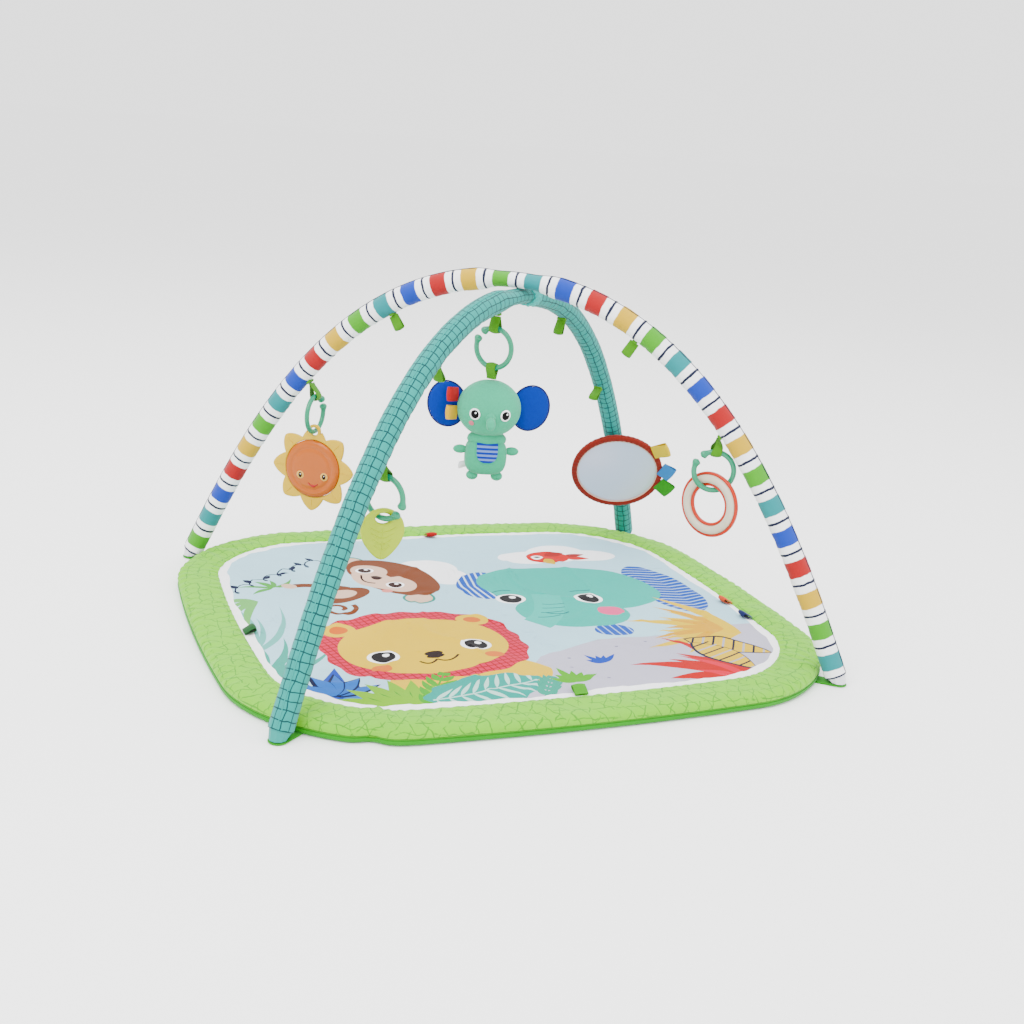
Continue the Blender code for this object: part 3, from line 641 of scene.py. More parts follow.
def lime_cloth():
    """Lime cloth printed with rows of loosely drawn triangles."""
    net = Net("lime_cloth", LIME, 0.85, Sheen_Weight=0.10, Sheen_Roughness=0.5,
              Specular_IOR_Level=0.25)
    run, travel = net.along()
    lines = None
    side = 0.0165
    for turn in (0.0, 60.0, 120.0):
        angle = math.radians(turn + 4)
        shift = net.math("MULTIPLY", net.math("SUBTRACT", net.noise(62.0, 1.0), 0.5), 0.011)
        value = net.math("ADD", net.math("MULTIPLY", run, math.sin(angle)),
                         net.math("MULTIPLY", travel, math.cos(angle)))
        count = net.math("ADD", net.math("DIVIDE", net.math("ADD", value, shift), side), 200.0)
        apart = net.math("ABSOLUTE", net.math("SUBTRACT", net.math("FRACT", count), 0.5))
        drawn = net.math("SUBTRACT", 1.0, net.between(apart, 0.030, 0.062))
        shown = net.between(net.noise(48.0 + turn / 10, 2.0), 0.42, 0.50)
        drawn = net.math("MULTIPLY", drawn, shown)
        lines = drawn if lines is None else net.math("MAXIMUM", lines, drawn)
    net.paint(net.mix(net.math("MULTIPLY", lines, 0.75), (*LIME, 1), (*LIME_DARK, 1)), 0.07)
    net.weave(0.0012, 0.0002)
    return net.material


# ---- the print: flat shapes laid one over another --------------------------------------------
def blob(x, y, half_x, half_y, tilt=0.0, wave=0.0, waves=9, count=56):
    """An oval, with a wavy edge if asked."""
    made = []
    lean = math.radians(tilt)
    for index in range(count):
        angle = 2 * math.pi * index / count
        swell = 1 + wave * math.sin(waves * angle)
        flat_x, flat_y = half_x * swell * math.cos(angle), half_y * swell * math.sin(angle)
        made.append((x + flat_x * math.cos(lean) - flat_y * math.sin(lean),
                     y + flat_x * math.sin(lean) + flat_y * math.cos(lean)))
    return made


def leaf(x, y, length, width, heading, bend=0.0, count=14):
    """A pointed leaf from its stalk at x, y."""
    right, left = [], []
    for index in range(count + 1):
        share = index / count
        angle = math.radians(heading + bend * share)
        half = 0.5 * width * math.sin(math.pi * share ** 0.8)
        px, py = x + length * share * math.cos(angle), y + length * share * math.sin(angle)
        right.append((px + half * math.sin(angle), py - half * math.cos(angle)))
        left.append((px - half * math.sin(angle), py + half * math.cos(angle)))
    return right + left[-2:0:-1]


def stroke(path, width):
    """A drawn line of that width along a path."""
    right, left = [], []
    for index, (x, y) in enumerate(path):
        x0, y0 = path[max(index - 1, 0)]
        x1, y1 = path[min(index + 1, len(path) - 1)]
        reach = math.hypot(x1 - x0, y1 - y0)
        across_x, across_y = -(y1 - y0) / reach * width / 2, (x1 - x0) / reach * width / 2
        right.append((x - across_x, y - across_y))
        left.append((x + across_x, y + across_y))
    return right + left[::-1]


def curve(start, control, end, count=14):
    """Points on a simple bend from start to end."""
    made = []
    for index in range(count + 1):
        t = index / count
        made.append(tuple((1 - t) ** 2 * a + 2 * t * (1 - t) * b + t * t * c
                          for a, b, c in zip(start, control, end)))
    return made


class Print:
    """Coloured outlines in painting order."""

    def __init__(self):
        self.outlines, self.colours, self.names, self.inside = [], [], [], []

    def add(self, outline, colour, name=None, inside=None):
        turning = sum(a[0] * b[1] - a[1] * b[0] for a, b in zip(outline, outline[1:] + outline[:1]))
        self.outlines.append(outline if turning > 0 else outline[::-1])
        self.colours.append(colour)
        self.names.append(name)
        self.inside.append(inside)

    def draw(self, path, width, colour, inside=None):
        """A drawn line that may cross itself, in short overlapping bits."""
        for start in range(0, len(path) - 1, 2):
            bit = path[start:start + 4]
            if len(bit) > 1:
                self.add(stroke(bit, width), colour, inside=inside)

    def fan(self, x, y, length, width, colour, headings, bend=0.0):
        for number, heading in enumerate(headings):
            reach = length * (0.82 + 0.18 * math.cos(2.1 * number))
            self.add(leaf(x, y, reach, width, heading, bend), colour)

    def frond(self, x, y, heading, length, leaflet, colour, pairs=6):
        """A stem with narrow leaves on both sides."""
        angle = math.radians(heading)
        end = (x + length * math.cos(angle), y + length * math.sin(angle))
        self.add(stroke([(x, y), end], 0.0028), colour)
        for pair in range(pairs):
            share = (pair + 0.8) / pairs
            px, py = x + (end[0] - x) * share, y + (end[1] - y) * share
            size = leaflet * math.sin(math.pi * (0.18 + 0.74 * share))
            for side in (-1, 1):
                self.add(leaf(px, py, size, 0.011, heading + side * 52, -side * 14, 8), colour)

    def eye(self, x, y, size, dark=NAVY):
        """A dark oval eye with a glint, in a pale surround."""
        self.add(blob(x, y, size * 1.35, size * 1.15, count=28), WHITE)
        self.add(blob(x, y, size * 0.98, size, count=28), dark)
        self.add(blob(x + size * 0.3, y + size * 0.35, size * 0.3, size * 0.3, count=14), WHITE)


def draw_background(art):
    sand = [(-0.16, -0.36), (-0.104, -0.316), (-0.045, -0.245), (-0.006, -0.197), (0.050, -0.176),
            (0.099, -0.164), (0.18, -0.160), (0.262, -0.150), (0.42, -0.135), (0.42, -0.40), (-0.1, -0.40)]
    art.add(sand, rgb(214, 212, 226))
    for x, y in ((0.03, -0.21), (0.11, -0.19), (0.02, -0.24), (-0.03, -0.27), (0.055, -0.28),
                 (0.16, -0.18)):
        art.add(blob(x, y, 0.0026, 0.0020, count=10), rgb(176, 174, 194))
    cloud = rgb(250, 250, 252)
    for x, y, wide, high in ((-0.052, 0.150, 0.050, 0.046), (-0.030, 0.118, 0.034, 0.034)):
        art.add(blob(x, y, wide, high), cloud)
    for x, y, wide, high in ((0.135, 0.186, 0.052, 0.030), (0.190, 0.196, 0.054, 0.040),
                             (0.240, 0.178, 0.048, 0.030)):
        art.add(blob(x, y, wide, high), cloud)


def draw_left_plants(art):
    pale, mid = rgb(150, 214, 206), rgb(112, 196, 180)
    art.fan(-0.395, -0.130, 0.190, 0.0105, pale, range(28, 112, 7), 34)
    art.fan(-0.395, -0.200, 0.150, 0.0120, mid, range(4, 96, 9), 30)
    art.fan(-0.330, 0.060, 0.090, 0.0130, rgb(150, 212, 140), (150, 176, 204, 230), 22)
    art.fan(-0.300, 0.105, 0.052, 0.0085, rgb(122, 196, 112), (28, 66, 104, 146, 190), 20)
    vine = []
    for index in range(90):
        share = index / 89
        swing = 2 * math.pi * 6.5 * share
        vine.append((-0.364 + 0.160 * share + 0.0070 * math.sin(swing),
                     0.096 + 0.122 * share + 0.010 * math.cos(swing) + 0.008 * math.sin(3 * share)))
    art.draw(vine, 0.0026, NAVY)
    for share in (0.1, 0.24, 0.38, 0.52, 0.66, 0.8, 0.94):
        x, y = -0.364 + 0.160 * share, 0.096 + 0.122 * share
        art.add(leaf(x, y + 0.008, 0.019, 0.009, 70 + 60 * math.sin(9 * share), count=8), NAVY)
    blue = rgb(58, 108, 206)
    art.fan(-0.335, -0.325, 0.155, 0.040, blue, (8, 26, 44, 62, 80), 8)
    art.fan(-0.300, -0.318, 0.100, 0.030, rgb(108, 156, 226), (12, 38, 64), 8)
    art.add(stroke([(-0.262, -0.305), (-0.246, -0.262), (-0.240, -0.222)], 0.0055), rgb(214, 226, 246))
    for heading in range(10, 190, 30):
        art.add(leaf(-0.302, -0.262, 0.066, 0.022, heading, 8), NAVY)
        art.add(leaf(-0.300, -0.260, 0.060, 0.016, heading, 8), rgb(96, 146, 222))


def draw_monkey(art):
    """A monkey lying on its side, the crown of its head to the right."""
    fur, pale, dark = rgb(146, 92, 66), rgb(238, 212, 196), rgb(66, 38, 34)
    tail = []
    for index in range(40):
        turn = 2 * math.pi * 1.25 * index / 39
        reach = 0.006 + 0.020 * index / 39
        tail.append((-0.226 + reach * math.cos(turn - 1.1), 0.012 + reach * math.sin(turn - 1.1)))
    art.draw(tail, 0.0075, fur)
    art.add(blob(-0.212, 0.066, 0.052, 0.030, 24), fur)
    art.add(blob(-0.206, 0.072, 0.024, 0.017, 24), pale)
    art.add(stroke(curve((-0.190, 0.096), (-0.232, 0.128), (-0.272, 0.116)), 0.0145), fur)
    art.add(blob(-0.274, 0.116, 0.0115, 0.0105), pale)
    art.add(stroke(curve((-0.226, 0.050), (-0.246, 0.020), (-0.262, 0.046)), 0.0135), fur)
    for x, y in ((-0.100, 0.036), (-0.158, 0.206)):
        art.add(blob(x, y, 0.0255, 0.0215, 20), rgb(84, 172, 160))
        art.add(blob(x, y, 0.0215, 0.0175, 20), pale)
    art.add(blob(-0.112, 0.130, 0.056, 0.090, 22), fur)
    art.add(blob(-0.141, 0.160, 0.027, 0.030, 22), pale)
    art.add(blob(-0.115, 0.096, 0.027, 0.032, 22), pale)
    art.add(blob(-0.143, 0.122, 0.027, 0.045, 22), pale)
    for x, y in ((-0.147, 0.163), (-0.119, 0.094)):
        art.eye(x, y, 0.0105, dark)
    art.add(blob(-0.138, 0.128, 0.0085, 0.0100, 22, count=20), dark)
    art.draw(curve((-0.158, 0.142), (-0.166, 0.118), (-0.146, 0.106)), 0.0030, dark)
    art.add(blob(-0.138, 0.072, 0.0085, 0.0075, count=20), rgb(246, 176, 168))


def draw_lion(art):
    mane, line, face = rgb(238, 96, 124), rgb(188, 36, 72), rgb(250, 218, 20)
    art.add(blob(-0.120, -0.246, 0.110, 0.060, 4), face)
    for x in (-0.178, -0.112):
        toe = curve((x, -0.236), (x + 0.006, -0.262), (x + 0.024, -0.250))
        art.add(stroke(toe, 0.0030), rgb(222, 160, 60))
    outline = []
    for step in range(120):
        angle = 2 * math.pi * step / 120
        x, y = math.cos(angle), math.sin(angle)
        fuller = (abs(x) ** 2.6 + abs(y) ** 2.6) ** (-1 / 2.6)
        ruffle = 1 + 0.018 * math.sin(17 * angle)
        outline.append((-0.146 + 0.138 * fuller * ruffle * x, -0.128 + 0.112 * fuller * ruffle * y))
    art.add(outline, mane, "mane")
    for step in range(-16, 17):
        for lean in (12, 102):
            way_x, way_y = math.cos(math.radians(lean)), math.sin(math.radians(lean))
            x, y = -0.146 - way_y * 0.0092 * step, -0.128 + way_x * 0.0092 * step
            path = [(x + way_x * t, y + way_y * t) for t in (-0.17, -0.08, 0.0, 0.08, 0.17)]
            art.add(stroke(path, 0.0018), line, inside="mane")
    for x, y in ((-0.246, -0.062), (-0.052, -0.056)):
        art.add(blob(x, y, 0.0235, 0.0215), face)
        art.add(blob(x, y, 0.0125, 0.0115), rgb(240, 148, 96))
    art.add(blob(-0.147, -0.132, 0.117, 0.090, 4), face)
    art.eye(-0.212, -0.160, 0.0160, rgb(34, 28, 34))
    art.eye(-0.079, -0.146, 0.0160, rgb(34, 28, 34))
    nose = rgb(52, 30, 30)
    art.add(leaf(-0.144, -0.179, 0.016, 0.026, 98, count=8), nose)
    art.add(blob(-0.145, -0.164, 0.0130, 0.0070, 6, count=20), nose)
    art.draw(curve((-0.170, -0.183), (-0.160, -0.202), (-0.146, -0.182)), 0.0032, nose)
    art.draw(curve((-0.146, -0.182), (-0.132, -0.200), (-0.114, -0.174)), 0.0032, nose)
    for x, y in ((-0.224, -0.194), (-0.066, -0.182)):
        art.add(blob(x, y, 0.0135, 0.0100, count=24), rgb(246, 158, 108))


def draw_elephant(art):
    skin_teal, deep, pink = rgb(96, 212, 198), rgb(44, 150, 152), rgb(252, 140, 178)
    blue = rgb(72, 122, 210)
    art.add(blob(0.018, 0.070, 0.046, 0.058, -24), blue, "left_ear")
    for step in range(-6, 7):
        path = [(0.018 + 0.0105 * step, 0.0), (0.010 + 0.0105 * step, 0.07), (0.022 + 0.0105 * step, 0.15)]
        art.add(stroke(path, 0.0032), rgb(216, 232, 250), inside="left_ear")
    art.add(blob(0.292, 0.012, 0.046, 0.104, 4), blue, "right_ear")
    for step in range(-9, 10):
        path = [(x, y + 0.0115 * step) for x, y in ((0.235, 0.012), (0.270, 0.016), (0.305, 0.008),
                                                    (0.345, 0.014))]
        art.add(stroke(path, 0.0030), rgb(196, 216, 246), inside="right_ear")
    art.add(blob(0.137, -0.130, 0.030, 0.024, 10), blue, "foot")
    for step in range(-2, 3):
        path = [(0.137 + 0.012 * step, -0.165), (0.139 + 0.012 * step, -0.10)]
        art.add(stroke(path, 0.0024), rgb(196, 216, 246), inside="foot")
    head = []
    for step in range(90):
        angle = 2 * math.pi * step / 90
        x, y = math.cos(angle), math.sin(angle)
        fuller = (abs(x) ** 2.5 + abs(y) ** 2.5) ** (-1 / 2.5)
        head.append((0.143 + 0.130 * fuller * x - 0.03 * y, 0.042 + 0.092 * fuller * y))
    art.add(head, skin_teal)
    art.add(blob(0.108, -0.052, 0.086, 0.058, -10), skin_teal)
    art.add(stroke(curve((0.094, 0.020), (0.078, -0.060), (0.036, -0.086)), 0.044), rgb(114, 220, 206))
    for share in (0.30, 0.46, 0.62, 0.78):
        x, y = 0.096 - 0.050 * share * share, 0.012 - 0.095 * share
        art.draw(curve((x - 0.018, y), (x, y - 0.007), (x + 0.018, y)), 0.0022, deep)
    art.eye(0.034, 0.010, 0.0170, rgb(34, 30, 36))
    art.eye(0.156, -0.002, 0.0170, rgb(34, 30, 36))
    art.draw(curve((0.016, 0.040), (0.030, 0.050), (0.046, 0.042)), 0.0028, deep)
    art.draw(curve((0.140, 0.030), (0.156, 0.037), (0.172, 0.026)), 0.0028, deep)
    art.add(blob(0.168, -0.056, 0.021, 0.0175, count=28), pink)
    art.draw(curve((0.066, -0.050), (0.084, -0.066), (0.102, -0.050)), 0.0028, deep)


def draw_bird(art):
    red, wing = rgb(232, 70, 72), rgb(190, 40, 56)
    art.add(leaf(0.196, 0.174, 0.040, 0.020, -22, count=8), red)
    art.add(leaf(0.196, 0.180, 0.040, 0.018, 8, count=8), wing)
    art.add(blob(0.168, 0.182, 0.036, 0.028, -8), red)
    art.add(leaf(0.158, 0.172, 0.028, 0.018, -72, count=8), YELLOW)
    art.add(leaf(0.166, 0.190, 0.038, 0.022, 12, count=10), wing)
    art.add(blob(0.150, 0.184, 0.0105, 0.0100, count=18), WHITE)
    art.add(blob(0.150, 0.184, 0.0065, 0.0062, count=14), rgb(34, 28, 34))


def draw_right_plants(art):
    art.fan(0.318, -0.178, 0.170, 0.020, rgb(248, 218, 14), range(96, 190, 13), 16)
    art.fan(0.300, -0.158, 0.120, 0.014, rgb(242, 196, 24), range(104, 190, 21), 18)
    art.fan(0.262, -0.330, 0.180, 0.026, rgb(216, 26, 64), range(92, 186, 13), 22)
    art.fan(0.252, -0.330, 0.120, 0.014, rgb(242, 92, 112), range(104, 186, 21), 22)
    for x, y, length, heading in ((0.222, -0.176, 0.128, -34), (0.226, -0.190, 0.118, -66)):
        art.add(leaf(x, y, length, 0.056, heading), NAVY)
        art.add(leaf(x + 0.003, y - 0.002, length - 0.008, 0.049, heading), rgb(248, 216, 14), "striped")
        angle = math.radians(heading)
        for step in range(1, 9):
            px = x + length * step / 9 * math.cos(angle)
            py = y + length * step / 9 * math.sin(angle)
            path = [(px - 0.026 * math.sin(angle), py + 0.026 * math.cos(angle)),
                    (px + 0.026 * math.sin(angle), py - 0.026 * math.cos(angle))]
            art.add(stroke(path, 0.0030), NAVY if step % 2 else rgb(206, 204, 214), inside="striped")
    art.fan(0.071, -0.232, 0.034, 0.009, rgb(58, 108, 206), (40, 66, 92, 118, 144))
    art.fan(0.006, -0.286, 0.046, 0.013, rgb(122, 200, 70), (30, 54, 78, 102, 126, 150))


def draw_front_plants(art):
    lime = rgb(160, 214, 62)
    for heading in range(4, 150, 18):
        art.add(leaf(-0.232, -0.326, 0.095, 0.026, heading, 12), lime)
        art.add(leaf(-0.232, -0.326, 0.062, 0.006, heading, 12), rgb(96, 176, 74))
    art.frond(-0.205, -0.318, 60, 0.105, 0.036, rgb(112, 196, 84))
    teal, pale = rgb(84, 190, 178), rgb(206, 238, 230)
    art.add(blob(-0.118, -0.284, 0.080, 0.040, 10, 0.06, 9), teal, "monstera")
    for step in range(-4, 5):
        x = -0.118 + 0.017 * step
        for heading in (64, -50):
            rib = leaf(x, -0.284 + 0.003 * step, 0.040, 0.0060, heading + 6 * step, count=8)
            art.add(rib, pale, inside="monstera")
    art.add(stroke([(-0.190, -0.297), (-0.118, -0.285), (-0.044, -0.272)], 0.0026), pale, inside="monstera")
    art.frond(-0.052, -0.318, 58, 0.060, 0.026, rgb(96, 190, 168), 5)


def panel_height(x, y, from_edge):
    """Soft mounds and creases of the quilted cloth; it dips into the seam at the border."""
    mounds = 0.0034 * noise.noise(Vector((x * 8.5, y * 8.5, 0.3)))
    creases = 0.0013 * noise.noise(Vector((x * 31 + 2 * y, y * 22, 5.1)))
    ridge = abs(noise.noise(Vector((x * 9 + 3, y * 7 - 1, 2.2))))
    creases += 0.0019 * math.exp(-(ridge / 0.045) ** 2)
    tucks = 0.0010 * math.sin((x + y) * 160) * math.sin((x - y) * 150)
    near = math.exp(-(from_edge / 0.020) ** 2)
    soft = mounds + creases + puckers(x, y)
    return PANEL_TOP - 0.0004 + soft * (1 - near) + (tucks - 0.0020) * near


def print_margin(edge):
    """The hand-cut looking line where the picture ends and the white edge begins."""
    margin = []
    for index, (p, n) in enumerate(edge):
        wave = 0.0022 * math.sin(index * 2 * math.pi / 25)
        wave += 0.0012 * math.sin(index * 2 * math.pi / 7.5)
        margin.append(tuple(p + n * (BORDER_WIDTH + PANEL_MARGIN + wave)))
    return margin


def top_colour(art, layers):
    """The colour that shows where these layers overlap: 0 is the cloth, 1 the sky, then the art."""
    if 1 not in layers:
        return WHITE
    colour = SKY
    names = {art.names[i - 2] for i in layers if i > 1}
    for layer in sorted(layers):
        if layer > 1 and (art.inside[layer - 2] is None or art.inside[layer - 2] in names):
            colour = art.colours[layer - 2]
    return colour


def cut_sheet(art, rim, margin):
    """Corners, triangles and colours of the cloth, with an even mesh between the outlines."""
    coordinates, loops = [], []
    for outline in [rim, margin] + art.outlines:
        loops.append(list(range(len(coordinates), len(coordinates) + len(outline))))
        coordinates.extend(Vector(p) for p in outline)
    for row in range(int(2 * MAT_HALF_Y / PANEL_STEP)):
        for column in range(int(2 * MAT_HALF_X / PANEL_STEP)):
            offset = 0.5 * (row % 2)
            coordinates.append(Vector((-MAT_HALF_X + (column + offset) * PANEL_STEP,
                                       -MAT_HALF_Y + row * PANEL_STEP)))
    corners, _, triangles, _, _, layers = delaunay_2d_cdt(coordinates, [], loops, 0, 1e-6, True)
    inside = [(triangle, over) for triangle, over in zip(triangles, layers) if 0 in over]
    return corners, [triangle for triangle, _ in inside], [top_colour(art, over) for _, over in inside]


def build_print():
    """The printed cloth: one sheet, cut along every outline of its picture."""
    art = Print()
    for draw in (draw_background, draw_left_plants, draw_monkey, draw_bird, draw_elephant,
                 draw_lion, draw_front_plants, draw_right_plants):
        draw(art)
    edge, _ = mat_edge(300)
    rim = [tuple(p + n * BORDER_WIDTH) for p, n in edge]
    corners, triangles, colours = cut_sheet(art, rim, print_margin(edge))
    used = sorted({i for triangle in triangles for i in triangle})
    place = {old: new for new, old in enumerate(used)}
    tree = nearest_edge(rim)
    points = []
    for old in used:
        x, y = corners[old]
        from_edge = tree.find((x, y, 0))[2]
        points.append((x, y, panel_height(x, y, from_edge)))
    mesh = bpy.data.meshes.new("mat_printed_cloth")
    mesh.from_pydata(points, [], [tuple(place[i] for i in triangle) for triangle in triangles])
    mesh.shade_smooth()
    store = mesh.color_attributes.new("Print", "FLOAT_COLOR", "CORNER")
    values = []
    for colour, polygon in zip(colours, mesh.polygons):
        values.extend((*colour, 1.0) * polygon.loop_total)
    store.data.foreach_set("color", values)
    mesh.materials.append(printed_cloth("printed_cloth"))
    sheet = bpy.data.objects.new("mat_printed_cloth", mesh)
    bpy.context.scene.collection.objects.link(sheet)
    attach(sheet, "mat")
    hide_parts("mat_print_panel")


def nearest_edge(outline):
    tree = KDTree(len(outline))
    for index, (x, y) in enumerate(outline):
        tree.insert((x, y, 0), index)
    tree.balance()
    return tree


# ---- the arches ----------------------------------------------------------------------------
class Arch:
    """A tube's centre line, one curve for each half.

    Distance s runs along it from the top, positive towards direction.  The shoulder is how far out
    the curve is pulled level at the top, as a share of the reach; the shank is how far up it is
    pulled at the foot, where it leans inwards.
    """

    def __init__(self, direction, height, shoulder, shank, lean):
        self.out = direction.normalized()
        self.side = self.out.cross(UP)
        reach = direction.length
        handles = ((0, height), (shoulder * reach, height),
                   (reach - shank * math.sin(lean), FOOT_HEIGHT + shank * math.cos(lean)),
                   (reach, FOOT_HEIGHT))
        self.table = []
        length, last = 0.0, None
        for step in range(401):
            t = step / 400
            weights = ((1 - t) ** 3, 3 * t * (1 - t) ** 2, 3 * t * t * (1 - t), t ** 3)
            here = Vector((sum(w * h[0] for w, h in zip(weights, handles)),
                           sum(w * h[1] for w, h in zip(weights, handles))))
            length += (here - last).length if last is not None else 0.0
            self.table.append((length, here))
            last = here
        self.half = length

    def flat(self, s):
        sign = -1 if s < 0 else 1
        want = min(abs(s), self.half)
        low, high = 0, len(self.table) - 1
        while high - low > 1:
            middle = (low + high) // 2
            if self.table[middle][0] <= want:
                low = middle
            else:
                high = middle
        start, end = self.table[low], self.table[high]
        point = start[1].lerp(end[1], (want - start[0]) / (end[0] - start[0]))
        return Vector((sign * point.x, point.y))

    def frame(self, s):
        """Centre, direction along the tube and the normal that points into the arch."""
        step = 0.002
        here = self.flat(s)
        run = self.flat(min(s + step, self.half)) - self.flat(max(s - step, -self.half))
        run.normalize()
        centre = self.out * here.x + UP * here.y
        along = self.out * run.x + UP * run.y
        beyond = abs(s) - self.half
        if beyond > 0:
            centre += along * math.copysign(beyond, s)
        return centre, along, self.out * run.y - UP * run.x

    def squash(self, s):
        return 0.70 + 0.30 * smoothstep(0.022, 0.060, abs(s))


STRIPED = Arch(Vector((FOOT_X, -FOOT_Y, 0)), height=0.4890, shoulder=0.549, shank=0.1955,
               lean=math.radians(26.0))
TEAL_ARCH = Arch(Vector((FOOT_X, FOOT_Y, 0)), height=0.4668, shoulder=0.390, shank=0.3840,
                 lean=math.radians(24.0))


def build_sleeve(name, arch, material, replaced, seed):
    """Padded cloth tube: lightly wrinkled, most where it bends, with closed round ends."""
    end_round = 0.0080
    reach = arch.half + SLEEVE_OVERRUN
    rows = round(2 * reach / TUBE_STEP)
    stations = [-reach + 2 * reach * row / rows for row in range(rows + 1)]
    near_end = [reach - 0.0015, reach - 0.0006]
    stations = [-s for s in reversed(near_end)] + stations[1:-1] + near_end
    rings, marks = [], []
    for s in stations:
        centre, _, inward = arch.frame(s)
        to_end = reach - abs(s)
        share = min(to_end / end_round, 1.0)
        closing = math.sqrt(max(1 - (1 - share) ** 2, 0.0))
        bend = smoothstep(0.02, 0.10, abs(s)) * (1 - smoothstep(0.45, 0.70, abs(s)))
        ring = []
        for side in range(TUBE_SIDES):
            angle = 2 * math.pi * side / TUBE_SIDES
            facing_in = math.sin(angle)
            where = Vector((s * 42 + seed, math.cos(angle) * 1.1, facing_in * 1.1))
            soft = noise.noise(where * 0.6)
            fold = noise.noise(Vector((s * 95 + seed, math.cos(angle) * 0.9, facing_in * 0.5)))
            crease = math.exp(-(fold / 0.13) ** 2) * (0.35 + 0.65 * max(facing_in, 0.0))
            radius = TUBE_RADIUS * closing
            radius += (0.0004 * soft - 0.0011 * crease * (0.45 + 0.55 * bend)) * closing
            # gathered where the cloth is sewn shut at the foot
            radius += 0.0005 * math.sin(9 * angle) * math.exp(-to_end / 0.012) * closing
            ring.append(centre + arch.side * (radius * math.cos(angle))
                        + inward * (radius * arch.squash(s) * facing_in))
            marks.append((s, angle * TUBE_RADIUS))
        rings.append([Vector((p.x, p.y, max(p.z, 0.0020))) for p in ring])
    shape = skin(rings)
    sleeve = make(name, shape, material, "arch_frame", replaced)
    write_uv(sleeve, marks, 2 * math.pi * TUBE_RADIUS, wrap_axis=1)
    # the long seam where the sleeve is sewn together, on the outside of the bend
    seam = []
    for s in stations[4:-4]:
        centre, _, inward = arch.frame(s)
        outward = (arch.side * 0.25 - inward).normalized()
        seam.append(centre + outward * ((TUBE_RADIUS + 0.0001) * (0.97 * arch.squash(s) + 0.03)))
    shape = cord_mesh(seam, 0.0007, 6)
    make(name + "_seam", shape, material, "arch_frame")


def ribbon(name, top, bottom, across, eye, body, material, replaced=(), sewn_across=None,
           width=RIBBON_WIDTH):
    """A ribbon folded round bottom with both ends sewn on at top; it bows out a little."""
    sewn_across = sewn_across or across
    down = (bottom - top).normalized()
    length = (bottom - top).length
    line = []
    for index in range(9):
        share = index / 8
        spread = 0.0008 + (eye - 0.0008) * smoothstep(0.0, 1.0, share)
        line.append((-spread, length * share))
    turn = [(-eye * math.cos(math.pi * i / 16), length + eye * math.sin(math.pi * i / 16))
            for i in range(1, 16)]
    line = line + turn + [(-x, y) for x, y in reversed(line)]
    rings = []
    shifts = [-0.5 + i / 6 for i in range(7)]
    for index, (x, y) in enumerate(line):
        before = Vector(line[max(index - 1, 0)])
        after = Vector(line[min(index + 1, len(line) - 1)])
        run = (after - before).normalized()
        normal = Vector((-run.y, run.x))
        wide = sewn_across.lerp(across, min(max(y / length, 0.0), 1.0)).normalized()
        aside = wide.cross(down).normalized()
        ring = []
        for side, row in ((0.0, shifts), (1.0, shifts[::-1])):
            for shift in row:
                curl = 0.0004 * math.cos(2 * math.pi * shift)
                thick = RIBBON_THICK * (0.55 if abs(shift) > 0.45 else 1.0)
                flat = Vector((x, y)) + normal * (curl + side * thick)
                ring.append(top + aside * flat.x + down * flat.y + wide * (shift * width))
        rings.append(ring)
    shape = skin(rings)
    made = make(name, shape, material, body, replaced)
    return made


def sewing_point(arch, s, clear=0.0):
    centre, _, inward = arch.frame(s)
    return centre + inward * (SLEEVE_RADIUS * arch.squash(s) + SEAM_GAP + clear)


def sewn_base(name, arch, s, material):
    """The folded end of a ribbon where it is stitched flat on the sleeve."""
    centre, along, inward = arch.frame(s)
    seat = centre + inward * (TUBE_RADIUS * arch.squash(s) + 0.0006)
    outline = []
    for corner_x, corner_y, start in ((1, -1, -90), (1, 1, 0), (-1, 1, 90), (-1, -1, 180)):
        for step in range(4):
            angle = math.radians(start + 30 * step)
            outline.append((corner_x * 0.0026 + 0.0010 * math.cos(angle),
                            corner_y * 0.0058 + 0.0010 * math.sin(angle)))
    shape = slab(outline, [], seat, along, arch.side, 0.0032, 0.0008)
    make(name, shape, material, "arch_frame")


def build_arches(ribbon_cloth):
    striped, grid = striped_cloth(), grid_cloth()
    build_sleeve("striped_sleeve_cloth", STRIPED, striped,
                 ("striped_sleeve", "striped_foam"), 3.0)
    build_sleeve("teal_sleeve_cloth", TEAL_ARCH, grid,
                 ("teal_sleeve", "teal_foam"), 11.0)
    strap_cloth = cloth("strap_cloth", STRAP_TEAL, vary=0.06)
    build_crossing_strap(strap_cloth)
    free = (("striped_loop_2", STRIPED, -0.200), ("striped_loop_3", STRIPED, 0.187),
            ("teal_loop_2", TEAL_ARCH, -0.225), ("teal_loop_4", TEAL_ARCH, 0.160),
            ("teal_loop_5", TEAL_ARCH, 0.375))
    for name, arch, s in free:
        top = sewing_point(arch, s)
        _, along, inward = arch.frame(s)
        across = along if arch is STRIPED else arch.side
        ribbon(name + "_ribbon", top, top + inward * 0.018, across, 0.0032, "arch_frame",
               ribbon_cloth, (name,))
        sewn_base(name + "_base", arch, s, ribbon_cloth)


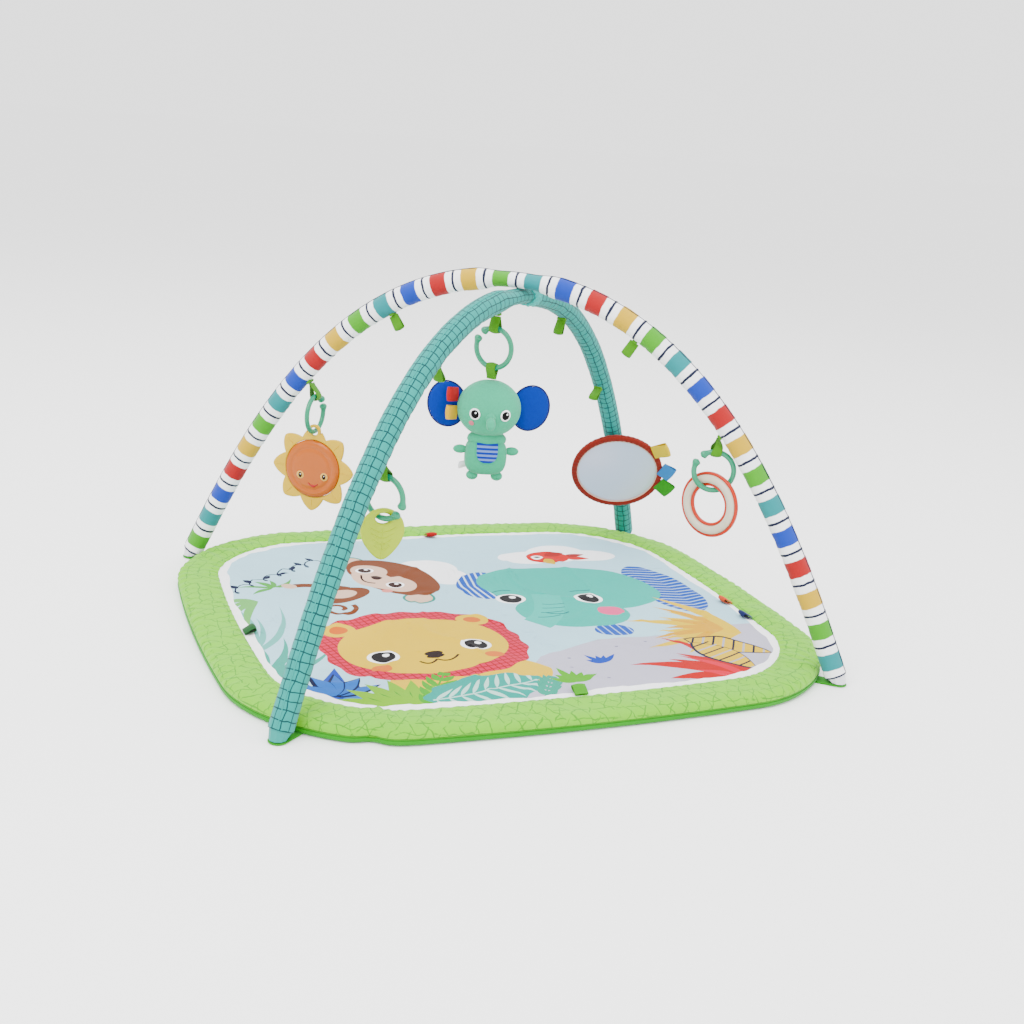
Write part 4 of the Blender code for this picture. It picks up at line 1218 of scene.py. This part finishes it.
def build_crossing_strap(material):
    """Gathered strap that wraps the teal tube just past the crossing."""
    rings = []
    rows, sides, gathers = 14, 72, 13
    # share of the strap's width and height over the tube, from edge to edge
    profile = [(0.0, 0.0003), (0.0, 0.0018)]
    for row in range(rows + 1):
        profile.append((row / rows, 0.0026 + 0.0012 * math.sin(math.pi * row / rows)))
    profile += [(1.0, 0.0018), (1.0, 0.0003)]
    for share, height in profile:
        s = STRAP_START + STRAP_WIDTH * share
        centre, _, inward = TEAL_ARCH.frame(s)
        ring = []
        for side in range(sides):
            angle = 2 * math.pi * side / sides
            gather = 0.0010 * math.sin(gathers * angle + 2.5 * math.sin(4 * share))
            radius = TUBE_RADIUS + height + (gather if height > 0.002 else 0.0)
            ring.append(centre + TEAL_ARCH.side * (radius * math.cos(angle))
                        + inward * (radius * TEAL_ARCH.squash(s) * math.sin(angle)))
        rings.append(ring)
    shape = skin(rings, closed=True)
    make("crossing_strap_cloth", shape, material, "arch_frame",
         ("crossing_strap",))


# ---- the toys ------------------------------------------------------------------------------
def build_link(name, hang, across, gap_angle, body, material):
    """A smooth split ring with a bulb at each side of its gap."""
    centre = hang - UP * LINK_RADIUS
    normal = across.cross(UP)
    half_gap, bulb = math.radians(6), math.radians(9)
    start = math.radians(gap_angle) + half_gap
    span = 2 * math.pi - 2 * half_gap
    steps = 120
    rings = []
    for index in range(steps + 1):
        share = index / steps
        angle = start + span * share
        spoke = across * math.cos(angle) + UP * math.sin(angle)
        from_end = min(angle - start, start + span - angle)
        wire = LINK_WIRE + (LINK_BULB - LINK_WIRE) * math.exp(-((from_end - bulb) / bulb) ** 2)
        closing = math.sqrt(max(1 - (1 - min(from_end / math.radians(7), 1.0)) ** 2, 0.02))
        rings.append(circle(centre + spoke * LINK_RADIUS, spoke, normal, wire * closing, 20))
    shape = skin(rings)
    make(name + "_plastic", shape, material, body, (name,))
    # the moulding's parting line
    path = []
    for index in range(10, steps - 9):
        angle = start + span * index / steps
        spoke = across * math.cos(angle) + UP * math.sin(angle)
        path.append(centre + spoke * (LINK_RADIUS + LINK_WIRE))
    shape = cord_mesh(path, 0.00025, 5)
    make(name + "_parting_line", shape, material, body)


def sun_outline():
    """Eight petals, with a round tab for the link in place of the top one's tip."""
    per_petal, tab_steps = 22, 28
    petals = []
    for index in range(PETALS * per_petal):
        turn = index / per_petal
        from_tip = abs(2 * (turn - round(turn)))
        wave = 1 - (from_tip ** 2 + 0.012) ** 0.60
        radius = PETAL_VALLEY + (PETAL_TIP - PETAL_VALLEY) * wave
        angle = math.pi / 2 + 2 * math.pi * turn / PETALS
        petals.append((radius * math.cos(angle), radius * math.sin(angle)))
    kept = [(x, y) for x, y in petals if y < 0 or abs(x) >= SUN_TAB + 0.001]
    first = next(i for i, (x, y) in enumerate(kept) if x < 0 < y)
    tab = []
    for step in range(tab_steps + 1):
        angle = math.radians(-20 + 220 * step / tab_steps)
        tab.append((SUN_TAB * math.cos(angle), SUN_DROP + SUN_TAB * math.sin(angle)))
    return tab + kept[first:] + kept[:first]


def build_sun_face(centre, axes):
    """Two ringed eyes with glints, a smile and a tongue, raised on the disc's front."""
    aside, _, across = axes
    white, dark = plastic("face_white", WHITE, 0.4), plastic("face_dark", rgb(44, 18, 16), 0.35, gloss=0.08)
    smile, ring = plastic("face_red", rgb(206, 40, 34), 0.4), plastic("eye_ring", rgb(246, 206, 140), 0.4)
    for number, (x, y) in enumerate(((-0.0172, -0.0105), (0.0215, -0.0085)), 1):
        spot = centre + aside * x + UP * y
        profile = [(0.0, 0.0074), (0.0056, 0.0074), (0.0061, 0.0070), (0.0061, 0.0062)]
        make("sun_eye_ring_%d" % number, turned(profile, spot, across, 28), ring, "sun")
        shape = ball(spot + across * 0.0072, (0.0029, 0.0042, 0.0014), axes, 24, 12)
        make("sun_eye_%d" % number, shape, dark, "sun")
        glint = spot + aside * 0.0008 + UP * 0.0015 + across * 0.0085
        make("sun_glint_%d" % number, ball(glint, (0.0009, 0.0009, 0.0004), axes, 12, 8), white, "sun")
    mouth = centre + aside * 0.0040 - UP * 0.0215
    path = []
    for step in range(-8, 9):
        share = step / 8
        path.append(mouth + aside * (0.0078 * share) - UP * (0.0042 * (1 - share ** 2) ** 1.4)
                    + across * 0.0071)
    make("sun_smile", cord_mesh(path, 0.0010, 8), smile, "sun")
    tongue = mouth - UP * 0.0036 + across * 0.0068
    make("sun_tongue", ball(tongue, (0.0040, 0.0022, 0.0009), axes, 20, 10), smile, "sun")


def build_sun(hook, across):
    """An orange disc with a face in a ring of eight petals."""
    centre = hook - UP * SUN_DROP
    aside = UP.cross(across)
    yellow = plastic("petal_plastic", PETAL_YELLOW, 0.34)
    holes = [hole(0.0060, 0.0060, 28, SUN_DROP), hole(SUN_BORE, SUN_BORE, 96)]
    shape = slab(sun_outline(), holes, centre, aside, UP, 0.0050, 0.0016)
    make("sun_petal_ring", shape, yellow, "sun", ("sun_petals",))
    rim = SUN_BORE - 0.0003
    half = [(0.0, 0.0072), (0.016, 0.0072), (0.0255, 0.0070), (0.0290, 0.0066), (0.0305, 0.0058),
            (0.0322, 0.0056), (0.0336, 0.0062), (0.0360, 0.0066), (0.0385, 0.0064),
            (0.0410, 0.0054), (0.0428, 0.0040), (rim, 0.0022), (rim, 0.0)]
    shape = turned(half + [(r, -h) for r, h in half[-2::-1]], centre, across, 96)
    orange = plastic("sun_plastic", SUN_ORANGE, 0.26)
    make("sun_face_disc", shape, orange, "sun", ("sun_face",))
    # every petal but the one with the tab has a shallow raised rib
    for petal in range(1, PETALS):
        angle = math.pi / 2 + 2 * math.pi * petal / PETALS
        way = aside * math.cos(angle) + UP * math.sin(angle)
        for side, tag in ((1, "front"), (-1, "back")):
            level = across * (side * 0.0024)
            path = [centre + way * r + level for r in (0.0475, 0.051, 0.055, 0.0585)]
            make("sun_rib_%d_%s" % (petal, tag), cord_mesh(path, 0.0008, 8), yellow, "sun")
    build_sun_face(centre, (aside, UP, across))


def build_leaf(hook, face_normal):
    """A pointed teether leaf with moulded veins."""
    aside = UP.cross(face_normal)
    half, above, below, middle = 0.0275, 0.028, 0.038, -0.015
    outline = []
    for index in range(96):
        angle = 2 * math.pi * index / 96
        x, y = math.cos(angle), math.sin(angle)
        if y > 0:
            outline.append((half * x, middle + above * y))
        else:
            # narrower and longer towards the tip
            narrowed, longer = 1 - 0.22 * y ** 2, 1.0 + 0.12 * abs(y) ** 3
            outline.append((half * x * narrowed, middle + below * y * longer / 1.12))
    green = plastic("leaf_silicone", LEAF_GREEN, 0.42)
    shape = slab(outline, [hole(0.0094, 0.0066, 40)], hook, aside, UP, 0.0060, 0.0026)
    make("leaf_teether_body", shape, green, "leaf", ("leaf_teether",))
    veins = [[(0.0, -0.0125 - 0.0375 * i / 10) for i in range(11)]]
    for row in range(4):
        y = -0.018 - 0.0075 * row
        reach = 0.0165 - 0.0024 * row
        for hand in (-1, 1):
            veins.append([(hand * reach * i / 8, y + 0.0065 * (i / 8) ** 1.4) for i in range(9)])
    for side, tag in ((1, "front"), (-1, "back")):
        level = face_normal * (side * 0.0029)
        for number, vein in enumerate(veins):
            path = [hook + aside * x + UP * y + level for x, y in vein]
            make("leaf_vein_%s_%d" % (tag, number), cord_mesh(path, 0.0009, 8), green, "leaf")


def build_rattle(hook, face_normal):
    """A clear hollow ring between two rims, with beads that roll in it."""
    rim_width, rim_half, window_half, window_thick = 0.0039, 0.0026, 0.0065, 0.0012
    centre = hook - UP * (RATTLE_BORE - LINK_WIRE - 0.0018)
    low, high = RATTLE_BORE + rim_width, RATTLE_RADIUS - rim_width
    orange = plastic("rim_plastic", RIM_ORANGE, 0.30)
    for name, start, end in (("rattle_outer_rim", high, RATTLE_RADIUS),
                             ("rattle_inner_rim", RATTLE_BORE, low)):
        shape = turned(rounded(start, end, -rim_half, rim_half, 0.0016), centre, face_normal, 96,
                       closed=True)
        make(name + "_moulding", shape, orange, "rattle", (name,))
    clear = plastic("window_plastic", WINDOW_GREEN, 0.2, 0.25)
    for name, side in (("rattle_front_window", 1), ("rattle_back_window", -1)):
        outer = []
        for step in range(13):
            swell = math.sin(math.pi * step / 12) ** 0.6
            outer.append((low + (high - low) * step / 12,
                          side * (rim_half + (window_half - rim_half) * swell)))
        inner = [(r, h - side * window_thick) for r, h in reversed(outer)]
        shape = turned(outer + inner, centre, face_normal, 96, closed=True)
        make(name + "_shell", shape, clear, "rattle", (name,))
    aside = UP.cross(face_normal)
    bead_colours = (BEAD_OLIVE, rgb(206, 92, 52), rgb(120, 150, 70))
    for number, (angle, colour) in enumerate(zip((-106, -90, -74), bead_colours), 1):
        spoke = aside * math.cos(math.radians(angle)) + UP * math.sin(math.radians(angle))
        shape = ball(centre + spoke * (low + high) / 2, (BEAD, BEAD, BEAD), (aside, face_normal, UP),
                     24, 14, lambda way: 1 - 0.05 * math.exp(-(way.z / 0.12) ** 2))
        make("bead_%d" % number, shape, plastic("bead_plastic_%d" % number, colour, 0.25),
             "rattle_beads", ("rattle_bead_%d" % number,))


class Elephant:
    """The elephant's own axes, the middles of its head and body, and its cloths."""

    def __init__(self, hook, across):
        facing = -across.cross(UP).normalized()
        if facing.y > 0:
            facing = -facing
        self.front = (Matrix.Rotation(math.radians(ELEPHANT_TURN), 3, "Z") @ facing).normalized()
        self.aside = self.front.cross(UP)
        self.axes = (self.aside, self.front, UP)
        self.head, self.body = hook - UP * HEAD_DROP, hook - UP * BODY_DROP
        self.mint = plush("mint_plush", MINT)
        # a slightly darker copy of the head's mint plush: painted shade on the body, neck, arms and feet
        # below the head
        self.mint_painted_shade = plush("mint_plush_painted_shade", rgb(108, 212, 174))
        self.thread = cloth("dark_thread", rgb(52, 120, 104), vary=0.0)
        self.blue = plush("blue_plush", EAR_BLUE)
        self.piping = cloth("ear_piping", PIPING)

    def at(self, middle, x, y, z):
        return middle + self.aside * x + self.front * y + UP * z

    def on_head(self, x, z, lift=0.0):
        """The point on the front of the head at x, z."""
        share = max(1 - (x / HEAD_SIZE[0]) ** 2 - (z / HEAD_SIZE[2]) ** 2, 0.0)
        return self.at(self.head, x, HEAD_SIZE[1] * math.sqrt(share) + lift, z)

    def on_body(self, x, z, lift=0.0):
        """The point on the front of the body at x, z."""
        share = 1 - (abs(x) / BODY_SIZE[0]) ** BOXY - (abs(z) / BODY_SIZE[2]) ** BOXY
        return self.at(self.body, x, BODY_SIZE[1] * max(share, 0.01) ** (1 / BOXY) + lift, z)

    def soft(self, name, middle, size, sides, rows, cloth_used, slot, replaced=(), fill=None, warp=None):
        """A rounded stuffed piece."""
        shape = ball(middle, size, self.axes, sides, rows, warp)
        return make(name, shape, cloth_used, "elephant", replaced)


def build_head_and_body(toy):
    """Head with a seam down its middle, boxy body with two, and the neck between them."""
    def seam_groove(way):
        return 1 - 0.030 * math.exp(-(way.x / 0.05) ** 2)

    def boxy(way):
        """Fuller towards the corners than an oval."""
        return (abs(way.x) ** BOXY + abs(way.y) ** BOXY + abs(way.z) ** BOXY) ** (-1 / BOXY)

    head = toy.soft("elephant_head_plush", toy.head, HEAD_SIZE, 48, 32, toy.mint, "plush_mint",
                    ("elephant_head",), warp=seam_groove)
    stuff(head, 0.0040, 0.0014, lambda p: abs((p - toy.head).dot(toy.aside)) < 0.0022)
    # body and neck take the darker mint copy, painted shade below the head
    body = toy.soft("elephant_body_plush", toy.body, BODY_SIZE, 40, 26, toy.mint_painted_shade, "plush_mint",
                    ("elephant_body",), warp=boxy)
    stuff(body, 0.0035, 0.0012,
          lambda p: abs(abs((p - toy.body).dot(toy.aside)) - 0.024) < 0.0015)
    toy.soft("elephant_neck", toy.at(toy.body, 0, 0, 0.0240), (0.0272, 0.0192, 0.0125), 28, 12,
             toy.mint_painted_shade, "plush_mint")


def build_ear(toy, tag, sign):
    """A flat stuffed ear with dark piping round its edge."""
    def lobe(x, z):
        """The ear swells a little along a line that tilts up outwards."""
        return 1 + 0.06 * math.cos(2 * math.atan2(z, x * sign) - 0.6)

    ear = toy.at(toy.head, sign * 0.0570, -0.006, 0.002)
    made = toy.soft("elephant_ear_%s_plush" % tag, ear, EAR_SIZE, 48, 30, toy.blue, "plush_blue",
                    ("elephant_ear_" + tag,), warp=lambda way: lobe(way.x, way.z))
    stuff(made, 0.0015, 0.0006, lambda p: abs((p - ear).dot(toy.front)) < 0.0016)
    rim = []
    for i in range(64):
        x, z = math.cos(2 * math.pi * i / 64), math.sin(2 * math.pi * i / 64)
        swell = lobe(x, z)
        rim.append(toy.at(ear, (EAR_SIZE[0] + 0.0003) * swell * x, 0.0,
                          (EAR_SIZE[2] + 0.0003) * swell * z))
    make("elephant_ear_%s_piping" % tag, cord_mesh(rim, 0.0011, 8, closed=True), toy.piping,
         "elephant")


def build_limbs(toy, tag, sign):
    """One arm, and one foot with three stitched toes."""
    # the darker mint copy is painted shade on the arms and feet
    mint = toy.mint_painted_shade
    toy.soft("elephant_arm_%s_plush" % tag, toy.at(toy.body, sign * 0.0355, 0.001, 0.008),
             (0.0098, 0.0054, 0.0060), 28, 16, mint, "plush_mint", ("elephant_arm_" + tag,), 0.8)
    toy.soft("elephant_arm_%s_root" % tag, toy.at(toy.body, sign * 0.0263, 0.001, 0.008),
             (0.0040, 0.0040, 0.0045), 20, 12, mint, "plush_mint")
    foot = toy.at(toy.body, sign * 0.0170, 0.004, -0.0272)
    toy.soft("elephant_foot_%s_plush" % tag, foot, (0.0082, 0.0075, 0.0066), 28, 18, mint,
             "plush_mint", ("elephant_foot_" + tag,), 0.8)
    for toe in (-1, 0, 1):
        path = [toy.at(foot, 0.0026 * toe, 0.0070 - 0.0006 * abs(toe), z)
                for z in (-0.0024, -0.0006, 0.0012)]
        make("elephant_toe_%s_%d" % (tag, toe + 2), cord_mesh(path, 0.0005, 6), toy.thread,
             "elephant")


def build_trunk(toy):
    """Short trunk, faintly ringed, and the root that joins it to the face."""
    toy.soft("elephant_trunk_plush", toy.at(toy.head, 0, HEAD_SIZE[1] + 0.0050, -0.014),
             (0.0064, 0.0085, 0.0092), 28, 18, toy.mint, "plush_mint", ("elephant_trunk",), 0.8,
             lambda way: 1 + 0.025 * math.sin(way.z * 14))
    toy.soft("elephant_trunk_root", toy.at(toy.head, 0, HEAD_SIZE[1] - 0.0035, -0.0075),
             (0.0072, 0.0070, 0.0085), 24, 14, toy.mint, "plush_mint")


def build_elephant_face(toy):
    """Two eyes of a white ring, a black pupil and a glint, and one pink cheek."""
    white = cloth("eye_white", WHITE, vary=0.0)
    black = plastic("eye_black", rgb(20, 16, 20), 0.3, gloss=0.08)
    for number, x in enumerate((-0.0200, 0.0215), 1):
        for part, size, lift, material in (("ring", 0.0080, 0.0002, white),
                                           ("pupil", 0.0060, 0.0010, black)):
            spot = toy.on_head(x, -0.0030, lift)
            out = toy.front * 0.8 + (spot - toy.head).normalized() * 0.2
            out = (out + toy.aside * (0.35 * x / 0.0185)).normalized()
            axis_u, axis_v = cross_axes(out)
            shape = ball(spot, (size, size, 0.0015), (axis_u, axis_v, out), 28, 14)
            make("elephant_eye_%s_%d" % (part, number), shape, material, "elephant")
        glint = spot + axis_u * 0.0016 + UP * 0.0020 + out * 0.0013
        shape = ball(glint, (0.0014, 0.0014, 0.0006), (axis_u, axis_v, out), 14, 8)
        make("elephant_glint_%d" % number, shape, white, "elephant")
    cheek_x = TAG_SIDE * 0.0250
    out = (toy.front + toy.aside * (1.1 * cheek_x / 0.0285) - UP * 0.25).normalized()
    shape = ball(toy.on_head(cheek_x, -0.0165, 0.0003), (0.0046, 0.0036, 0.0010),
                 (*cross_axes(out), out), 20, 10)
    make("elephant_cheek_1", shape, cloth("cheek_cloth", rgb(232, 158, 170), vary=0.04), "elephant")


def build_elephant_tags(toy):
    """Two coloured tags at one ear and a small blank label low on the same side."""
    looks = (("red", 0.017, cloth("red_tag", RED)),
             ("yellow", -0.008, cloth("yellow_tag", rgb(244, 206, 50))))
    for name, z, material in looks:
        top = toy.at(toy.head, TAG_SIDE * HEAD_SIZE[0], 0.0010, z)
        way = (toy.aside * (TAG_SIDE * 0.80) + toy.front * 0.55 + UP * 0.08).normalized()
        ribbon("elephant_%s_tag" % name, top, top + way * 0.014, UP, 0.0030, "elephant", material,
               width=0.019)
    top = toy.at(toy.body, TAG_SIDE * 0.0250, 0.0, -0.012)
    ribbon("elephant_plain_label", top, top + toy.aside * (TAG_SIDE * 0.009) - UP * 0.003, UP, 0.0016,
           "elephant", cloth("plain_label", rgb(236, 238, 240), vary=0.02), width=0.009)


def build_elephant(hook, across, ribbon_cloth):
    """The stuffed elephant: seamed head, piped ears, trunk, bib, arms, feet and tags."""
    toy = Elephant(hook, across)
    build_head_and_body(toy)
    for tag, sign in (("left", -1), ("right", 1)):
        build_ear(toy, tag, sign)
        build_limbs(toy, tag, sign)
    build_trunk(toy)
    build_elephant_face(toy)
    build_bib(toy)
    ribbon("elephant_hanger_ribbon", toy.at(toy.head, 0, 0, HEAD_SIZE[2] + 0.0010), hook, across,
           RIBBON_EYE, "elephant", ribbon_cloth, ("elephant_hanger",))
    build_elephant_tags(toy)


def build_bib(toy):
    """Striped patch on the elephant's front, laid over the plush."""
    shades = (cloth("bib_blue", rgb(58, 92, 190)), cloth("bib_lavender", rgb(158, 178, 232)))
    strips = 9
    high, low = 0.0215, -0.0050
    for strip in range(strips):
        rings = []
        for edge in range(5):
            z = high + (low - high) * (strip + edge / 4) / strips
            half = 0.0145 * math.sqrt(max(1 - (max(0.016 - z, 0.0) / 0.0215) ** 4, 0.05))
            row = [half * (i / 10 - 1) for i in range(21)]
            outer = [toy.on_body(x, z, 0.0012) for x in row]
            inner = [toy.on_body(x, z, -0.0008) for x in row]
            rings.append(outer + inner[::-1])
        make("elephant_bib_stripe_%d" % (strip + 1), skin(rings), shades[strip % 2], "elephant")


def build_mirror(arch, s):
    """A padded round mirror whose strap turns on the teal leg."""
    centre, along, inward = arch.frame(s)
    normal = Matrix.Rotation(math.radians(MIRROR_TURN), 3, along) @ inward
    if normal.y > 0:
        normal = -normal
    aside = normal.cross(along)
    rust, inside = cloth("mirror_cloth", RUST, vary=0.08), cloth("mirror_inner_edge", rgb(238, 210, 196))
    strap_low, strap_high = 0.0169, 0.0187
    section = rounded(strap_low, strap_high, -0.014, 0.014, 0.0008)
    shape = turned(section, centre, along, 64, closed=True)
    make("mirror_strap_cloth", shape, rust, "mirror", ("mirror_strap",))
    back = strap_high + 0.0006
    pad = 0.0100
    radius = 0.0768

    def gathers(angle, r):
        strength = smoothstep(0.045, 0.070, r)
        return 0.0006 * strength * math.sin(46 * angle + 2 * math.sin(5 * angle))

    profile = [(0.0, back + 0.0012), (0.02, back + 0.0010), (0.04, back + 0.0007), (0.0575, back + 0.0006),
               (0.066, back + 0.0016), (0.0725, back + 0.0036), (0.0760, back + 0.0062),
               (radius, back + 0.0085),
               (0.0764, back + 0.0098), (0.0700, back + 0.0098), (0.0, back + 0.0098)]
    shape = turned(profile, centre, normal, 144, warp=gathers)
    make("mirror_pad", shape, rust, "mirror", ("mirror_back",))
    face = back + pad + 0.0003
    film = Net("mirror_film", PANE, 0.34, Metallic=0.45, Specular_IOR_Level=0.5, Coat_Weight=0.5,
               Coat_Roughness=0.06)
    film.paint((*PANE, 1), 0.02, 12.0)
    film.bump(film.noise(16.0, 1.0), 0.0016)
    pane_profile = [(0.0, face), (0.0672, face), (0.0678, face + 0.0006), (0.0672, face + 0.0014),
                    (0.05, face + 0.0016), (0.0, face + 0.0017)]
    shape = turned(pane_profile, centre, normal, 128)
    make("mirror_pane_film", shape, film.material, "mirror", ("mirror_pane",))
    ring = []
    for index in range(24):
        angle = 2 * math.pi * index / 24
        ring.append((0.0722 + 0.0050 * math.cos(angle), face + 0.0019 + 0.0026 * math.sin(angle)))

    def ruffle(angle, _):
        return 0.00035 * math.sin(58 * angle + 1.5 * math.sin(7 * angle))

    shape = turned(ring, centre, normal, 360, closed=True, warp=ruffle)
    make("mirror_frame_cloth", shape, rust, "mirror", ("mirror_frame",))
    edge = [centre + normal * (face + 0.0024) + (aside * math.cos(t) + along * math.sin(t)) * 0.0672
            for t in (2 * math.pi * i / 120 for i in range(120))]
    shape = cord_mesh(edge, 0.0012, 8, closed=True)
    make("mirror_inner_piping", shape, inside, "mirror")
    build_mirror_tabs(centre, normal, face)


def build_mirror_tabs(centre, normal, face):
    """Three cloth tabs sewn in at the mirror's right edge."""
    level = UP - normal * UP.dot(normal)
    level.normalize()
    right = level.cross(normal) * -1
    if right.x < 0:
        right = -right
    # where each is sewn, the way it points (degrees), its cloth and length
    looks = (("yellow", 43, 26, cloth("tab_yellow", rgb(246, 218, 0)), 0.030),
             ("blue", 13, -26, cloth("tab_light_blue", rgb(104, 164, 222)), 0.026),
             ("green", -12, -34, cloth("tab_green", rgb(76, 168, 46)), 0.030))
    for name, sewn, points_to, material, reach in looks:
        base = right * math.cos(math.radians(sewn)) + level * math.sin(math.radians(sewn))
        turn = math.radians(points_to)
        way = right * math.cos(turn) + level * math.sin(turn)
        along_edge = (level * math.cos(turn) - right * math.sin(turn)).normalized()
        top = centre + normal * (face + 0.0042) + base * 0.0745
        ribbon("mirror_tab_" + name, top, top + (way + normal * 0.12).normalized() * (reach - 0.006),
               along_edge, 0.0032, "mirror", material, width=0.026)


# ---- small things sewn on the mat ------------------------------------------------------------
def build_mat_tabs():
    """Ribbon tabs in the seam between the print and the border."""
    edge, _ = mat_edge(400)
    rim = [(p + n * (BORDER_WIDTH + 0.001), n) for p, n in edge]
    looks = (("dark_green", (-0.36, -0.045), cloth("tab_dark_green", rgb(34, 110, 58))),
             ("red", (0.010, 0.33), cloth("tab_red", rgb(206, 48, 60))),
             ("orange", (0.36, -0.055), cloth("tab_orange", rgb(236, 120, 40))),
             ("navy", (0.36, -0.120), cloth("tab_navy", rgb(36, 52, 110))),
             ("green", (0.000, -0.33), cloth("tab_grass", rgb(110, 190, 60))))
    for name, target, material in looks:
        spot, inward = min(rim, key=lambda item: (item[0] - Vector(target)).length)
        top = Vector((*spot, PANEL_TOP - 0.0005))
        way = Vector((*inward, 0.42)).normalized()
        ribbon("mat_tab_" + name, top, top + way * 0.014, Vector((-inward.y, inward.x, 0)), 0.0024,
               "mat", material, width=0.018)


def build_foot_tabs():
    """Cloth tongues under the feet that carry the snap studs."""
    material = cloth("tongue_cloth", MAT_SIDE)
    reach = math.hypot(FOOT_X, FOOT_Y) + 0.0044
    for name, sign_x, sign_y in (("front_left", -1, -1), ("front_right", 1, -1), ("back_right", 1, 1),
                                 ("back_left", -1, 1)):
        along = Vector((sign_x * FOOT_X, sign_y * FOOT_Y, 0)).normalized()
        across = UP.cross(along)
        outline = []
        for i in range(25):
            angle = math.radians(-90 + 180 * i / 24)
            outline.append((reach + 0.0120 * math.cos(angle), 0.0120 * math.sin(angle)))
        outline += [(reach - 0.060, 0.0120), (reach - 0.060, -0.0120)]
        shape = slab(outline, [], UP * 0.00075, along, across, 0.0015, 0.0005)
        make("foot_tongue_" + name, shape, material, "mat")


# ---- metal and inner parts that stay as the CAD made them ------------------------------------
def finish_inner_parts():
    steel = Net("snap_steel", rgb(196, 198, 202), 0.28, Metallic=1.0)
    steel.bump(steel.noise(700.0, 1.0), 0.00002)
    rod = plastic("rod_fibre", rgb(226, 226, 218), 0.4)
    striped_end, teal_end = plastic("striped_cap", rgb(240, 240, 244), 0.5), plastic("teal_cap", TEAL, 0.5)
    for name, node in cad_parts.items():
        material = None
        if name.startswith("snap_stud") or "ferrule" in name:
            material = steel.material
        elif "_rod_" in name:
            material = rod
        elif name.startswith("end_cap"):
            material = striped_end if name in ("end_cap_back_left", "end_cap_front_right") else teal_end
        if material:
            node.data.materials.clear()
            node.data.materials.append(material)


def build_toys(ribbon_cloth):
    link = plastic("link_plastic", LINK_GREEN, 0.32, 0.12, 0.2)
    # toy, its ribbon, arch, place on it, ribbon's length and lean inwards, link's way and gap
    hung = (("sun", "striped_loop_1", STRIPED, -0.375, 0.020, 0.45, STRIPED.side, 150),
            ("leaf", "teal_loop_1", TEAL_ARCH, -0.385, 0.017, 0.6, TEAL_ARCH.side, -30),
            ("elephant", "teal_loop_3", TEAL_ARCH, -0.0585, 0.016, 0.0, TEAL_ARCH.side, 142),
            ("rattle", "striped_loop_4", STRIPED, 0.364, 0.019, 0.0, toward(RATTLE_LINK_ALONG), 142))
    hooks = {}
    for toy, loop, arch, s, drop, lean, across, gap in hung:
        top = sewing_point(arch, s, 0.0014)
        hang = top + (arch.frame(s)[2] * lean - UP * (1 - lean)).normalized() * drop
        sewn = arch.side if arch.side.dot(across) > 0 else -arch.side
        ribbon(loop + "_ribbon", top, hang, across, RIBBON_EYE, "arch_frame", ribbon_cloth,
               (loop,), sewn)
        sewn_base(loop + "_base", arch, s, ribbon_cloth)
        build_link(toy + "_link", hang, across, gap, toy + "_link", link)
        hooks[toy] = hang - UP * (2 * LINK_RADIUS)
    build_sun(hooks["sun"], STRIPED.side)
    build_leaf(hooks["leaf"], toward(LEAF_FACING))
    build_elephant(hooks["elephant"], TEAL_ARCH.side, ribbon_cloth)
    build_rattle(hooks["rattle"], toward(RATTLE_FACING))
    build_mirror(TEAL_ARCH, MIRROR_STATION)


# ---- camera, floor and light -----------------------------------------------------------------
def build_studio():
    """A pale floor and soft lights from the left, the right and above."""
    half = 60
    corners = [(-half, -half), (half, -half), (half, half), (-half, half)]
    floor_mesh = bpy.data.meshes.new("floor")
    floor_mesh.from_pydata([(x, y, FLOOR_LEVEL) for x, y in corners], [], [(0, 1, 2, 3)])
    floor_mesh.materials.append(Net("floor_white", (0.985, 0.985, 0.985), 0.9).material)
    floor = bpy.data.objects.new("floor", floor_mesh)
    bpy.context.scene.collection.objects.link(floor)
    # name, place, watts and width of each light
    for name, place, power, size in (("key", (-1.6, -1.2, 2.6), 105.0, 2.0),
                                     ("fill", (2.4, -2.2, 1.8), 38.0, 2.6),
                                     ("top", (0.2, 0.6, 3.0), 80.0, 3.0)):
        light = bpy.data.lights.new(name, "AREA")
        light.energy, light.size = power, size
        lamp = bpy.data.objects.new(name, light)
        lamp.location = place
        lamp.rotation_mode = "QUATERNION"
        lamp.rotation_quaternion = (Vector((0, 0, 0.15)) - Vector(place)).to_track_quat("-Z", "Y")
        bpy.context.scene.collection.objects.link(lamp)
    world = bpy.data.worlds.new("studio")
    world.use_nodes = True
    background = world.node_tree.nodes["Background"]
    background.inputs["Color"].default_value = (1, 1, 1, 1)
    background.inputs["Strength"].default_value = 2.2
    bpy.context.scene.world = world


def build_camera():
    lens = bpy.data.cameras.new("photo_view")
    lens.lens, lens.sensor_width = CAMERA_LENS, 36.0
    lens.shift_x, lens.shift_y = CAMERA_SHIFT
    camera = bpy.data.objects.new("photo_view", lens)
    turn = (Matrix.Rotation(math.radians(-CAMERA_HEADING), 4, "Z")
            @ Matrix.Rotation(math.radians(90 - CAMERA_TILT), 4, "X")
            @ Matrix.Rotation(math.radians(CAMERA_ROLL), 4, "Z"))
    camera.matrix_world = Matrix.Translation(CAMERA_PLACE) @ turn
    bpy.context.scene.collection.objects.link(camera)
    bpy.context.scene.camera = camera


RIBBON_CLOTH = cloth("ribbon_cloth", RIBBON_GREEN, vary=0.06, period=0.0009)
build_border()
build_print()
build_arches(RIBBON_CLOTH)
build_toys(RIBBON_CLOTH)
build_mat_tabs()
build_foot_tabs()
finish_inner_parts()
build_studio()
build_camera()
